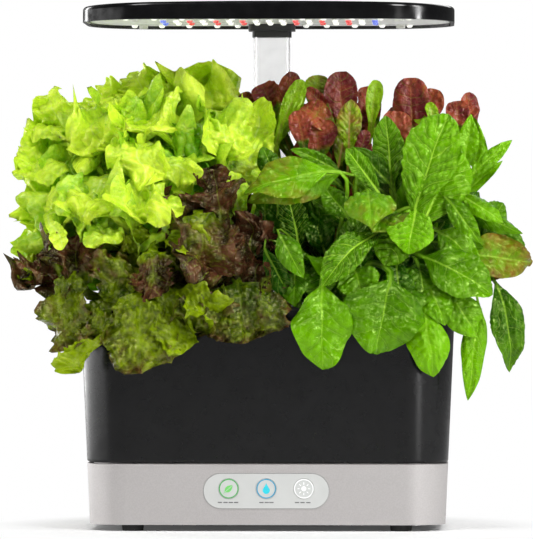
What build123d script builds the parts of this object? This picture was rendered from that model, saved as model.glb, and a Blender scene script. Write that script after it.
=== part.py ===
from build123d import *

import os
from math import cos, radians, sin, tan

# Countertop hydroponic garden, in millimetres.
# X runs to the right, Y to the back and Z up. The origin is on the table, under the middle of the base.
# The lamp stands at the height it is used at over grown plants, and can still be raised.

# Body: base and bowl share one rounded outline whose walls lean out towards the top
body_width = 253.0
body_depth = 138.6
body_corner = 27.0
wall_draft = 2.5
foot_height = 4.5
base_height = 43.0
seam = 0.8
bowl_height = 107.7
shell_wall = 2.5
fit = 0.2
touch = 0.05
edge_round = 0.7

# Base plate, feet and screws
cover_thickness = 2.5
plateau_inset = 5.0
tray_width = 101.0
tray_inset = 13.3
tray_drop = 1.3
tab_width = 7.0
tab_place = 63.0
tab_drop = 0.8
foot_inset_x = 31.5
foot_inset_y = 11.3
foot_radius = 8.0
foot_waist = 7.4
foot_spigot = 4.0
screw_inset_x = 21.5
screw_inset_y = 27.3
screw_radius = 1.5
screw_head_radius = 2.8
screw_head_height = 1.6
screw_length = 12.0
boss_radius = 4.0

# Control panel on the front wall
panel_height = 28.6
panel_width = 89.0
panel_tall = 25.0
panel_thickness = 1.4
panel_proud = 0.4
pad_depth = 2.0
pad_margin = 4.0
key_radius = 7.1
key_pitch = 26.5
key_raise = 1.7
key_proud = 0.3
key_flange = 1.1
key_flange_thickness = 0.8
key_travel = 0.5
stem_radius = 2.5
stem_beyond = 0.7
switch_size = 6.0
switch_height = 2.5
board_length = 84.0
board_tall = 26.0
board_thickness = 1.6
standoff_radius = 3.0
standoff_place = 37.0
standoff_drop = 7.0
board_screw_radius = 1.2
board_screw_head = 2.3

# Inlet for the low-voltage lead, on the back wall
jack_inset = 56.5
jack_height = 24.0
jack_radius = 4.8
jack_block = 12.0
jack_length = 11.0
jack_bore = 2.75
jack_pin = 1.0

# Lamp post and the sleeve that it slides in
post_width = 26.3
post_depth = 12.0
post_corner = 3.0
post_wall = 2.0
post_inset = 12.3
post_low = 55.0
sleeve_clearance = 1.2
sleeve_wall = 1.7
sleeve_above_deck = 6.0
sleeve_flange = 4.0
sleeve_flange_thickness = 3.0
collar_height = 4.0
collar_reach = 20.0
collar_lip = 1.0
shoe_height = 12.0

# Lamp head
lamp_width = 266.0
lamp_depth = 160.0
lamp_corner = 55.0
lamp_behind_post = 28.0
lamp_low = 361.7
lamp_side = 11.0
lamp_crown = 2.0
lamp_rim = 2.8
lamp_roof = 2.0
lamp_edge_round = 3.0
board_recess = 2.3
board_gap = 0.4
led_radius = 2.2
led_height = 2.4
led_dome_round = 1.54
row_inset = 25.0
inner_row_gap = 34.0
outer_led_insets = (32.5, 52.5, 72.5, 93.0, 108.0)
red_leds_at = (19.0, 38.0, 57.0)
blue_led_at = 76.0
inner_white_at = (0.0, 9.5, 28.5, 47.5, 66.5)
peg_inset = 39.0
peg_radius = 3.25
peg_height = 3.0
peg_shank = 1.6
neck_side = 1.1
neck_low = 354.5
neck_height = 4.5
bracket_flange_side = 3.85
bracket_ear = 60.0
bracket_ear_thickness = 3.0
bracket_screw_place = 24.0

# Bowl
bowl_wall = 2.5
bowl_floor = 3.0
bowl_edge_round = 2.0
notch_side = 1.6
deck_thickness = 3.0
skirt_depth = 8.0
skirt_wall = 1.8
skirt_gap = 0.4
deck_edge_round = 1.0

# Pods: two at the back, two at the ends and two at the front
pod_pitch_x = 84.0
pod_inset_y = 31.3
pod_inset_x = 34.5
basket_radius = 21.0
basket_foot = 15.5
basket_depth = 55.0
basket_wall = 1.4
basket_flange = 2.5
basket_flange_thickness = 1.6
slot_width = 4.0
slot_height = 30.0
slot_count = 6
sponge_gap = 0.3
sponge_rise = 1.0

# Filling port and its lid
port_width = 26.0
port_depth = 16.0
port_inset = 15.3
lid_margin = 2.2
lid_thickness = 1.8
lid_sink = 1.2
barrel_radius = 2.0
barrel_length = 14.0
lid_pin_radius = 0.8
pin_clearance = 0.05
lug_thickness = 3.0
lug_gap = 0.3

# Pump in the bowl
pump_place = 10.0
pump_radius = 20.0
pump_wall = 2.5
pump_motor_height = 12.0
pump_chamber = 10.0
pump_cover_thickness = 2.5
pump_inlet = 6.0
pump_shaft_radius = 1.5
shaft_clearance = 0.05
hub_radius = 4.5
rotor_disc = 2.0
vane_thickness = 1.6
vane_count = 6
rotor_gap = 1.5
spout_radius = 3.0
filter_height = 8.0
contact_radius = 1.8
contact_pitch = 16.0
contact_rise = 2.0
contact_sink = 0.3
contact_block = 6.0

# Float that follows the water level
float_inset_x = 54.5
float_inset_y = 17.3
float_radius = 9.0
float_height = 12.0
float_travel = 18.0
cage_gap = 0.6
cage_wall = 1.6
cage_slot = 5.0

# Plants
crown_height = 10.0
crown_foot = 8.0
crown_radius = 16.0
blade_thickness = 2.2
blade_fold = 0.3
blade_unit = 10.0
ring_outer = 12.5
ring_inner = 5.1

# Heights that follow from the sizes above
base_low = foot_height
base_top = base_low + base_height
bowl_low = base_top + seam
bowl_top = bowl_low + bowl_height
deck_top = bowl_top + deck_thickness
cover_top = base_low + cover_thickness
roof_low = base_top - shell_wall
floor_top = bowl_low + bowl_floor
lamp_top = lamp_low + lamp_side
board_low = lamp_low + board_recess
board_top = board_low + board_thickness
cavity_top = lamp_top - lamp_roof
neck_top = neck_low + neck_height
sleeve_top = deck_top + sleeve_above_deck

# Places that follow from the body's outline
post_place = body_depth / 2 - post_inset
jack_place = body_width / 2 - jack_inset
port_place = body_depth / 2 - port_inset
float_place_x = float_inset_x - body_width / 2
float_place_y = float_inset_y - body_depth / 2
foot_pitch_x = body_width - 2 * foot_inset_x
foot_pitch_y = body_depth - 2 * foot_inset_y
screw_pitch_x = body_width - 2 * screw_inset_x
screw_pitch_y = body_depth - 2 * screw_inset_y
tray_depth = body_depth - 2 * tray_inset
pod_pitch_y = body_depth - 2 * pod_inset_y
pod_end = body_width / 2 - pod_inset_x

# The lamp hangs forward from the post, and its rows and pegs follow its outline
lamp_middle = post_place + lamp_behind_post - lamp_depth / 2
outer_row_gap = lamp_depth - 2 * row_inset
peg_place = lamp_width / 2 - peg_inset
outer_row_leds = [lamp_width / 2 - inset for inset in outer_led_insets]

# The sleeve round the post, and the notch round the sleeve
sleeve_bore_x = post_width + 2 * sleeve_clearance
sleeve_bore_y = post_depth + 2 * sleeve_clearance
sleeve_x = sleeve_bore_x + 2 * sleeve_wall
sleeve_y = sleeve_bore_y + 2 * sleeve_wall
notch_x = sleeve_x / 2 + notch_side
notch_y = post_place - sleeve_y / 2 - notch_side

pods = [
    (-pod_pitch_x / 2, pod_pitch_y / 2),
    (-pod_end, 0),
    (-pod_pitch_x / 2, -pod_pitch_y / 2),
    (pod_pitch_x / 2, pod_pitch_y / 2),
    (pod_end, 0),
    (pod_pitch_x / 2, -pod_pitch_y / 2),
]


def outset(height):
    """How far the leaning wall stands out at a height, from the base's lower edge."""
    return (height - base_low) * tan(radians(wall_draft))


def body_outline(height, inset=0.0):
    """Draw the body's rounded outline at a height, inset from the outer wall."""
    grow = outset(height) - inset
    RectangleRounded(body_width + 2 * grow, body_depth + 2 * grow, body_corner + grow)


def body_block(low, high, inset=0.0, mode=Mode.ADD):
    """Extrude the body's outline between two heights, with its leaning walls."""
    with BuildSketch(Plane.XY.offset(low)) as outline:
        body_outline(low, inset)
    extrude(outline.sketch, amount=high - low, taper=-wall_draft, mode=mode)


def notch_block(low, high, grow=0.0):
    """Cut the notch for the post's sleeve out of the back, grown by a wall."""
    with BuildSketch(Plane.XY.offset(low)) as notch:
        with Locations((0, notch_y - grow)):
            Rectangle(2 * (notch_x + grow), body_depth, align=(Align.CENTER, Align.MIN))
    extrude(notch.sketch, amount=high - low, mode=Mode.SUBTRACT)


def post_section(grow_x, grow_y, corner):
    """Draw the post's rounded section, grown along each side."""
    with Locations((0, post_place)):
        RectangleRounded(post_width + 2 * grow_x, post_depth + 2 * grow_y, corner)


def wall_plane(height, across=0.0, back=False):
    """Plane on the front or back wall: x across, y up the wall and z out of it."""
    lean = radians(wall_draft)
    reach = body_depth / 2 + outset(height)
    side = 1 if back else -1
    out = (0, side * cos(lean), -sin(lean))
    return Plane(origin=(across, side * reach, height), x_dir=(-side, 0, 0), z_dir=out)


def led_places(across, gap):
    """Places at both sides of the lamp's middle, on two rows that are so far apart."""
    sides = sorted({side * place for place in across for side in (-1, 1)})
    return [(place, lamp_middle + end * gap / 2) for place in sides for end in (-1, 1)]


def keep(builder, name):
    """Label a finished piece and write it."""
    builder.part.label = name
    export_step(builder.part, f"parts/{name}.step")


os.makedirs("parts", exist_ok=True)

# Depths behind the front wall, all counted outwards from it
panel = wall_plane(panel_height)
panel_back = panel_proud - panel_thickness
pad_back = -(shell_wall + pad_depth)
flange_front = panel_back - touch
flange_back = flange_front - key_flange_thickness
stem_end = pad_back - stem_beyond
switch_front = stem_end - key_travel - touch
board_front = switch_front - switch_height
board_back = board_front - board_thickness
key_places = [(place * key_pitch, key_raise) for place in (-1, 0, 1)]
standoffs = [(-standoff_place, -standoff_drop), (standoff_place, -standoff_drop)]
jack_plane = wall_plane(jack_height, jack_place, back=True)

# Housing of the base: leaning walls, a roof and the low plateau that carries the bowl
with BuildPart() as base_housing:
    body_block(base_low, base_top)
    rim = base_housing.faces().sort_by(Axis.Z)[-1].edges()
    fillet(rim, radius=edge_round)
    body_block(base_low, roof_low, shell_wall, Mode.SUBTRACT)
    with BuildSketch(Plane.XY.offset(base_top)):
        body_outline(base_top, plateau_inset)
    extrude(amount=seam)
    with BuildSketch(Plane.XY.offset(cover_top)):
        with GridLocations(screw_pitch_x, screw_pitch_y, 2, 2):
            Circle(boss_radius)
    extrude(amount=roof_low - cover_top)
    with BuildSketch(panel.offset(-shell_wall / 2)):
        SlotOverall(panel_width + pad_margin, panel_tall + pad_margin)
    extrude(amount=-(shell_wall / 2 + pad_depth))
    with BuildSketch(panel.offset(pad_back)):
        with Locations(*standoffs):
            Circle(standoff_radius)
    extrude(amount=board_front - pad_back)
    with BuildSketch(panel.offset(panel_back)):
        SlotOverall(panel_width + fit, panel_tall + fit)
    extrude(amount=shell_wall, mode=Mode.SUBTRACT)
    with BuildSketch(panel.offset(flange_back - key_travel - touch)):
        with Locations(*key_places):
            Circle(key_radius + key_flange + fit)
    extrude(amount=shell_wall + pad_depth, mode=Mode.SUBTRACT)
    with BuildSketch(panel):
        with Locations(*key_places):
            Circle(stem_radius + fit)
    extrude(amount=2 * pad_back, mode=Mode.SUBTRACT)
    with BuildSketch(panel.offset(board_front)):
        with Locations(*standoffs):
            Circle(board_screw_radius + touch)
    extrude(amount=pad_depth + switch_height, mode=Mode.SUBTRACT)
    with BuildSketch(Plane.XY.offset(cover_top)):
        with GridLocations(screw_pitch_x, screw_pitch_y, 2, 2):
            Circle(screw_radius + touch)
    extrude(amount=screw_length, mode=Mode.SUBTRACT)
    with BuildSketch(Plane.XY.offset(roof_low)):
        post_section(sleeve_clearance + sleeve_wall + fit, sleeve_clearance + sleeve_wall + fit, post_corner)
        with Locations((0, pump_place)):
            with GridLocations(contact_pitch, 0, 2, 1):
                Circle(contact_radius + fit)
    extrude(amount=shell_wall + seam, mode=Mode.SUBTRACT)
    with BuildSketch(jack_plane):
        Circle(jack_radius + fit)
    extrude(amount=-2 * shell_wall, mode=Mode.SUBTRACT)
keep(base_housing, "base_housing")

# Plate under the base, with its shallow tray and two catches at the front
with BuildPart() as bottom_cover:
    body_block(base_low, cover_top, shell_wall + fit)
    with BuildSketch(Plane.XY.offset(base_low)):
        RectangleRounded(tray_width, tray_depth, foot_spigot)
    extrude(amount=-tray_drop)
    with BuildSketch(Plane.XY.offset(base_low)):
        with GridLocations(2 * tab_place, tray_depth + tab_width, 2, 2):
            Rectangle(tab_width, tab_width)
    extrude(amount=-tab_drop)
    with BuildSketch(Plane.XY.offset(base_low)):
        with GridLocations(foot_pitch_x, foot_pitch_y, 2, 2):
            Circle(foot_spigot + touch)
        with GridLocations(screw_pitch_x, screw_pitch_y, 2, 2):
            Circle(screw_radius + fit)
    extrude(amount=cover_thickness, mode=Mode.SUBTRACT)
keep(bottom_cover, "bottom_cover")

with BuildPart() as cover_screws:
    with BuildSketch(Plane.XY.offset(base_low - screw_head_height)):
        with GridLocations(screw_pitch_x, screw_pitch_y, 2, 2):
            Circle(screw_head_radius)
    extrude(amount=screw_head_height)
    with BuildSketch(Plane.XY.offset(base_low)):
        with GridLocations(screw_pitch_x, screw_pitch_y, 2, 2):
            Circle(screw_radius)
    extrude(amount=screw_length)
keep(cover_screws, "cover_screws")

# Rubber feet, each with a spigot up into the cover
for side, across in (("left", -foot_pitch_x / 2), ("right", foot_pitch_x / 2)):
    for end, along in (("front", -foot_pitch_y / 2), ("rear", foot_pitch_y / 2)):
        with BuildPart() as foot:
            with BuildSketch():
                with Locations((across, along)):
                    Circle(foot_waist)
            with BuildSketch(Plane.XY.offset(foot_height)):
                with Locations((across, along)):
                    Circle(foot_radius)
            loft()
            with BuildSketch(Plane.XY.offset(foot_height)):
                with Locations((across, along)):
                    Circle(foot_spigot)
            extrude(amount=cover_thickness)
        keep(foot, f"foot_{end}_{side}")

# Pale panel round the three keys
with BuildPart() as control_overlay:
    with BuildSketch(panel.offset(panel_back)):
        SlotOverall(panel_width, panel_tall)
        with Locations(*key_places):
            Circle(key_radius + fit, mode=Mode.SUBTRACT)
    extrude(amount=panel_thickness)
keep(control_overlay, "control_overlay")

# Round keys: a cap in the panel, a flange that the panel holds back and a stem to the switch
for name, place in zip(("key_food", "key_water", "key_light"), key_places):
    with BuildPart() as key:
        with BuildSketch(panel.offset(flange_front)):
            with Locations(place):
                Circle(key_radius)
        extrude(amount=panel_proud + key_proud - flange_front)
        with BuildSketch(panel.offset(flange_back)):
            with Locations(place):
                Circle(key_radius + key_flange)
        extrude(amount=key_flange_thickness)
        with BuildSketch(panel.offset(stem_end)):
            with Locations(place):
                Circle(stem_radius)
        extrude(amount=flange_back - stem_end)
    keep(key, name)

with BuildPart() as control_board:
    with BuildSketch(panel.offset(board_back)):
        Rectangle(board_length, board_tall)
        with Locations(*standoffs):
            Circle(board_screw_radius + fit, mode=Mode.SUBTRACT)
    extrude(amount=board_thickness)
keep(control_board, "control_board")

with BuildPart() as board_screws:
    with BuildSketch(panel.offset(board_back - board_screw_radius)):
        with Locations(*standoffs):
            Circle(board_screw_head)
    extrude(amount=board_screw_radius)
    with BuildSketch(panel.offset(board_back)):
        with Locations(*standoffs):
            Circle(board_screw_radius)
    extrude(amount=board_thickness + pad_depth)
keep(board_screws, "board_screws")

with BuildPart() as dome_switches:
    with BuildSketch(panel.offset(board_front)):
        with Locations(*key_places):
            RectangleRounded(switch_size, switch_size, edge_round)
    extrude(amount=switch_height)
keep(dome_switches, "dome_switches")

# Inlet: a block behind the back wall, a nose through it, and a bore with its contact pin
with BuildPart() as power_jack:
    with BuildSketch(jack_plane.offset(-shell_wall)):
        RectangleRounded(jack_block, jack_block, edge_round)
    extrude(amount=-jack_length)
    with BuildSketch(jack_plane.offset(-shell_wall)):
        Circle(jack_radius)
    extrude(amount=shell_wall)
    with BuildSketch(jack_plane):
        Circle(jack_bore)
        Circle(jack_pin, mode=Mode.SUBTRACT)
    extrude(amount=-(shell_wall + jack_length - jack_bore), mode=Mode.SUBTRACT)
keep(power_jack, "power_jack")

# Contacts under the bowl's place, which feed the pump
with BuildPart() as base_contacts:
    with BuildSketch(Plane.XY.offset(roof_low - contact_block)):
        with Locations((0, pump_place)):
            Rectangle(contact_pitch + 2 * contact_block, 2 * contact_block)
    extrude(amount=contact_block)
    with BuildSketch(Plane.XY.offset(roof_low)):
        with Locations((0, pump_place)):
            with GridLocations(contact_pitch, 0, 2, 1):
                Circle(contact_radius)
    extrude(amount=shell_wall + seam - contact_sink)
keep(base_contacts, "base_contacts")

# Sleeve: a tube from the base's plate to just over the deck, held under the base's roof
with BuildPart() as post_sleeve:
    with BuildSketch(Plane.XY.offset(cover_top)):
        post_section(sleeve_clearance + sleeve_wall, sleeve_clearance + sleeve_wall, post_corner)
    extrude(amount=sleeve_top - cover_top)
    with BuildSketch(Plane.XY.offset(roof_low - sleeve_flange_thickness)):
        with Locations((0, post_place)):
            RectangleRounded(sleeve_x + 2 * sleeve_flange, sleeve_y, post_corner)
    extrude(amount=sleeve_flange_thickness)
    with BuildSketch(Plane.XY.offset(cover_top)):
        post_section(sleeve_clearance, sleeve_clearance, post_corner)
    extrude(amount=sleeve_top - cover_top, mode=Mode.SUBTRACT)
keep(post_sleeve, "post_sleeve")

# Friction collar: a cap on the sleeve with a lining that grips the post
with BuildPart() as sleeve_collar:
    with BuildSketch(Plane.XY.offset(sleeve_top)):
        cap = sleeve_clearance + sleeve_wall + collar_lip
        post_section(cap, cap, post_corner + collar_lip)
    extrude(amount=collar_height)
    fillet(sleeve_collar.faces().sort_by(Axis.Z)[-1].edges(), radius=edge_round)
    with BuildSketch(Plane.XY.offset(sleeve_top - collar_reach)):
        lining = sleeve_clearance - touch
        post_section(lining, lining, post_corner)
    extrude(amount=collar_reach)
    with BuildSketch(Plane.XY.offset(sleeve_top - collar_reach)):
        post_section(touch, touch, post_corner)
    extrude(amount=collar_reach + collar_height, mode=Mode.SUBTRACT)
keep(sleeve_collar, "sleeve_collar")

# Hollow post, from inside the sleeve up into the bracket
post_top = cavity_top - bracket_ear_thickness
with BuildPart() as lamp_post:
    with BuildSketch(Plane.XY.offset(post_low)):
        post_section(0, 0, post_corner)
        post_section_inner = (post_width - 2 * post_wall, post_depth - 2 * post_wall)
        with Locations((0, post_place)):
            RectangleRounded(*post_section_inner, post_corner - post_wall, mode=Mode.SUBTRACT)
    extrude(amount=post_top - post_low)
keep(lamp_post, "lamp_post")

with BuildPart() as post_shoe:
    with BuildSketch(Plane.XY.offset(post_low - shoe_height)):
        post_section(sleeve_clearance - fit, sleeve_clearance - fit, post_corner)
    extrude(amount=shoe_height)
keep(post_shoe, "post_shoe")

# Bracket: a neck and a flange that show under the lamp, and ears screwed to its roof
with BuildPart() as lamp_bracket:
    with BuildSketch(Plane.XY.offset(neck_low)):
        post_section(neck_side, neck_side, post_corner)
    extrude(amount=cavity_top - neck_low)
    with BuildSketch(Plane.XY.offset(neck_top)):
        post_section(bracket_flange_side, bracket_flange_side, post_corner)
    extrude(amount=board_low - neck_top)
    with BuildSketch(Plane.XY.offset(cavity_top - bracket_ear_thickness)):
        with Locations((0, post_place)):
            RectangleRounded(bracket_ear, post_depth + 2 * neck_side, post_corner)
    extrude(amount=bracket_ear_thickness)
    with BuildSketch(Plane.XY.offset(neck_low)):
        post_section(touch, touch, post_corner)
    extrude(amount=post_top - neck_low, mode=Mode.SUBTRACT)
    with BuildSketch(Plane.XY.offset(post_top)):
        with Locations((0, post_place)):
            with GridLocations(2 * bracket_screw_place, 0, 2, 1):
                Circle(screw_radius + fit)
    extrude(amount=bracket_ear_thickness, mode=Mode.SUBTRACT)
keep(lamp_bracket, "lamp_bracket")

with BuildPart() as bracket_screws:
    with BuildSketch(Plane.XY.offset(post_top - screw_head_height)):
        with Locations((0, post_place)):
            with GridLocations(2 * bracket_screw_place, 0, 2, 1):
                Circle(screw_head_radius)
    extrude(amount=screw_head_height)
    with BuildSketch(Plane.XY.offset(post_top)):
        with Locations((0, post_place)):
            with GridLocations(2 * bracket_screw_place, 0, 2, 1):
                Circle(screw_radius)
    extrude(amount=bracket_ear_thickness + lamp_roof / 2)
keep(bracket_screws, "bracket_screws")

# Lamp head: a shallow crowned shell, open below
peg_places = led_places([peg_place], outer_row_gap)
crown_radius_of_roof = ((lamp_width / 2) ** 2 + lamp_crown**2) / (2 * lamp_crown)
with BuildPart() as lamp_shell:
    with BuildSketch(Plane.XY.offset(lamp_low)):
        with Locations((0, lamp_middle)):
            RectangleRounded(lamp_width, lamp_depth, lamp_corner)
    extrude(amount=lamp_side + lamp_crown)
    with BuildSketch(Plane.XZ):
        with Locations((0, lamp_top + lamp_crown - crown_radius_of_roof)):
            Circle(crown_radius_of_roof)
    extrude(amount=lamp_depth, both=True, mode=Mode.INTERSECT)
    top_edges = lamp_shell.faces().sort_by(Axis.Z)[-1].edges()
    fillet(top_edges, radius=lamp_edge_round)
    with BuildSketch(Plane.XY.offset(lamp_low)):
        with Locations((0, lamp_middle)):
            RectangleRounded(lamp_width - 2 * lamp_rim, lamp_depth - 2 * lamp_rim, lamp_corner - lamp_rim)
    extrude(amount=cavity_top - lamp_low, mode=Mode.SUBTRACT)
    with BuildSketch(Plane.XY.offset(board_top)):
        with Locations(*peg_places):
            Circle(2 * peg_shank)
            Circle(peg_shank + touch, mode=Mode.SUBTRACT)
    extrude(amount=cavity_top - board_top)
    with BuildSketch(Plane.XY.offset(cavity_top)):
        with Locations((0, post_place)):
            with GridLocations(2 * bracket_screw_place, 0, 2, 1):
                Circle(screw_radius + touch)
    extrude(amount=lamp_roof / 2, mode=Mode.SUBTRACT)
keep(lamp_shell, "lamp_shell")

with BuildPart() as led_board:
    board_inset = 2 * (lamp_rim + board_gap)
    with BuildSketch(Plane.XY.offset(board_low)):
        with Locations((0, lamp_middle)):
            RectangleRounded(lamp_width - board_inset, lamp_depth - board_inset, lamp_corner - board_inset / 2)
        post_hole = (post_width + 2 * (neck_side + fit), post_depth + 2 * (neck_side + fit))
        with Locations((0, post_place)):
            RectangleRounded(*post_hole, post_corner, mode=Mode.SUBTRACT)
        with Locations(*peg_places):
            Circle(peg_shank + fit, mode=Mode.SUBTRACT)
    extrude(amount=board_thickness)
keep(led_board, "led_board")

# Pegs that hold the board up to the shell
with BuildPart() as board_pegs:
    with BuildSketch(Plane.XY.offset(board_low - peg_height)):
        with Locations(*peg_places):
            Circle(peg_radius)
    extrude(amount=peg_height)
    fillet(board_pegs.faces().group_by(Axis.Z)[0].edges(), radius=edge_round)
    with BuildSketch(Plane.XY.offset(board_low)):
        with Locations(*peg_places):
            Circle(peg_shank)
    extrude(amount=cavity_top - board_low)
keep(board_pegs, "board_pegs")


white_places = led_places(outer_row_leds, outer_row_gap) + led_places(inner_white_at, inner_row_gap)
led_groups = {
    "white_leds": white_places,
    "red_leds": led_places(red_leds_at, inner_row_gap),
    "blue_leds": led_places([blue_led_at], inner_row_gap),
}
for name, places in led_groups.items():
    with BuildPart() as leds:
        with BuildSketch(Plane.XY.offset(board_low - led_height)):
            with Locations(*places):
                Circle(led_radius)
        extrude(amount=led_height)
        fillet(leds.faces().group_by(Axis.Z)[0].edges(), radius=led_dome_round)
    keep(leds, name)

# Bowl: leaning walls, a floor, and a notch at the back that the post's sleeve stands in
with BuildPart() as water_space:
    body_block(floor_top, bowl_top, bowl_wall)
    notch_block(floor_top, bowl_top, bowl_wall)

with BuildPart() as bowl:
    body_block(bowl_low, bowl_top)
    notch_block(bowl_low, bowl_top)
    lower_edges = bowl.faces().sort_by(Axis.Z)[0].edges()
    lower_edges = lower_edges.filter_by(lambda edge: edge.center().Y < notch_y - bowl_edge_round)
    fillet(lower_edges, radius=bowl_edge_round)
    add(water_space.part, mode=Mode.SUBTRACT)
    with BuildSketch(Plane.XY.offset(bowl_low)):
        with Locations((0, pump_place)):
            with GridLocations(contact_pitch, 0, 2, 1):
                Circle(contact_radius + touch)
    extrude(amount=bowl_floor, mode=Mode.SUBTRACT)
keep(bowl, "bowl")

with BuildPart() as bowl_contacts:
    with BuildSketch(Plane.XY.offset(bowl_low)):
        with Locations((0, pump_place)):
            with GridLocations(contact_pitch, 0, 2, 1):
                Circle(contact_radius)
    extrude(amount=bowl_floor + contact_rise)
keep(bowl_contacts, "bowl_contacts")

# Pump: a sealed motor below, the rotor's chamber above it and a spout to the side
motor_top = floor_top + pump_motor_height
chamber_top = motor_top + pump_chamber
with BuildPart() as pump_housing:
    with BuildSketch(Plane.XY.offset(floor_top)):
        with Locations((0, pump_place)):
            Circle(pump_radius)
    extrude(amount=chamber_top - floor_top)
    fillet(pump_housing.faces().sort_by(Axis.Z)[0].edges(), radius=edge_round)
    with BuildSketch(Plane.XY.offset(motor_top)):
        with Locations((0, pump_place)):
            Circle(pump_radius - pump_wall)
    extrude(amount=pump_chamber, mode=Mode.SUBTRACT)
    with BuildSketch(Plane(origin=(0, pump_place, motor_top + pump_chamber / 2), z_dir=(0, -1, 0))):
        Circle(spout_radius + pump_wall / 2)
    extrude(amount=pump_radius + 2 * spout_radius)
    with BuildSketch(Plane.XY.offset(motor_top)):
        with Locations((0, pump_place)):
            Circle(pump_radius - pump_wall)
    extrude(amount=pump_chamber, mode=Mode.SUBTRACT)
    with BuildSketch(Plane(origin=(0, pump_place, motor_top + pump_chamber / 2), z_dir=(0, -1, 0))):
        Circle(spout_radius)
    extrude(amount=pump_radius + 2 * spout_radius, mode=Mode.SUBTRACT)
    with BuildSketch(Plane.XY.offset(motor_top)):
        with Locations((0, pump_place)):
            Circle(pump_shaft_radius + touch)
    extrude(amount=-pump_motor_height / 2, mode=Mode.SUBTRACT)
    with BuildSketch(Plane.XY.offset(floor_top)):
        with Locations((0, pump_place)):
            with GridLocations(contact_pitch, 0, 2, 1):
                Circle(contact_radius + touch)
    extrude(amount=contact_rise, mode=Mode.SUBTRACT)
keep(pump_housing, "pump_housing")

with BuildPart() as pump_shaft:
    with BuildSketch(Plane.XY.offset(motor_top - pump_motor_height / 2)):
        with Locations((0, pump_place)):
            Circle(pump_shaft_radius)
    extrude(amount=pump_motor_height / 2 + pump_chamber)
keep(pump_shaft, "pump_shaft")

rotor_height = pump_chamber - 2 * rotor_gap
rotor_reach = pump_radius - pump_wall - rotor_gap
with BuildPart() as pump_rotor:
    with BuildSketch(Plane.XY.offset(motor_top + rotor_gap)):
        with Locations((0, pump_place)):
            Circle(rotor_reach)
    extrude(amount=rotor_disc)
    with BuildSketch(Plane.XY.offset(motor_top + rotor_gap)):
        with Locations((0, pump_place)):
            Circle(hub_radius)
            with PolarLocations(0, vane_count):
                Rectangle(rotor_reach - edge_round, vane_thickness, align=(Align.MIN, Align.CENTER))
    extrude(amount=rotor_height)
    with BuildSketch(Plane.XY.offset(motor_top + rotor_gap)):
        with Locations((0, pump_place)):
            Circle(pump_shaft_radius + shaft_clearance)
    extrude(amount=rotor_height, mode=Mode.SUBTRACT)
keep(pump_rotor, "pump_rotor")

with BuildPart() as pump_cover:
    with BuildSketch(Plane.XY.offset(chamber_top)):
        with Locations((0, pump_place)):
            Circle(pump_radius)
            with PolarLocations(2 * pump_inlet - pump_inlet / 2, 4):
                Circle(pump_inlet / 2, mode=Mode.SUBTRACT)
    extrude(amount=pump_cover_thickness)
keep(pump_cover, "pump_cover")

cover_lid = chamber_top + pump_cover_thickness
with BuildPart() as pump_filter:
    with BuildSketch(Plane.XY.offset(cover_lid)):
        with Locations((0, pump_place)):
            Circle(pump_radius - edge_round)
    extrude(amount=filter_height)
    fillet(pump_filter.faces().sort_by(Axis.Z)[-1].edges(), radius=2 * edge_round)
keep(pump_filter, "pump_filter")

# Cage and float: the float starts on the bowl's floor and rises to the cage's lid
cage_inner = float_radius + cage_gap
cage_inner_top = floor_top + float_height + float_travel + cage_gap
with BuildPart() as float_guide:
    with BuildSketch(Plane.XY.offset(floor_top)):
        with Locations((float_place_x, float_place_y)):
            Circle(cage_inner + cage_wall)
    extrude(amount=cage_inner_top + cage_wall - floor_top)
    with BuildSketch(Plane.XY.offset(floor_top)):
        with Locations((float_place_x, float_place_y)):
            Circle(cage_inner)
    extrude(amount=cage_inner_top - floor_top, mode=Mode.SUBTRACT)
    with BuildSketch(Plane.XY.offset(floor_top + cage_slot)):
        with Locations((float_place_x, float_place_y)):
            Rectangle(cage_slot, 4 * cage_inner)
            Rectangle(4 * cage_inner, cage_slot)
    extrude(amount=cage_inner_top - floor_top - 2 * cage_slot, mode=Mode.SUBTRACT)
keep(float_guide, "float_guide")

with BuildPart() as water_float:
    with BuildSketch(Plane.XY.offset(floor_top)):
        with Locations((float_place_x, float_place_y)):
            Circle(float_radius)
    extrude(amount=float_height)
    fillet(water_float.faces().sort_by(Axis.Z)[-1].edges(), radius=2 * edge_round)
keep(water_float, "water_float")

# Deck: a plate on the bowl's rim with a skirt inside it, six pod holes, the port and the lid's lugs
lid_width = port_width + 2 * lid_margin
lid_depth = port_depth + 2 * lid_margin
lid_back = -port_place + lid_depth / 2
hinge_y = lid_back + barrel_radius + fit
hinge_z = deck_top + barrel_radius + fit
lug_place = (barrel_length + lug_thickness) / 2 + lug_gap
with BuildPart() as skirt:
    body_block(bowl_top - skirt_depth, bowl_top, bowl_wall + skirt_gap)
    body_block(bowl_top - skirt_depth, bowl_top, bowl_wall + skirt_gap + skirt_wall, Mode.SUBTRACT)
    notch_block(bowl_top - skirt_depth, bowl_top, bowl_wall + skirt_gap)

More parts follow.
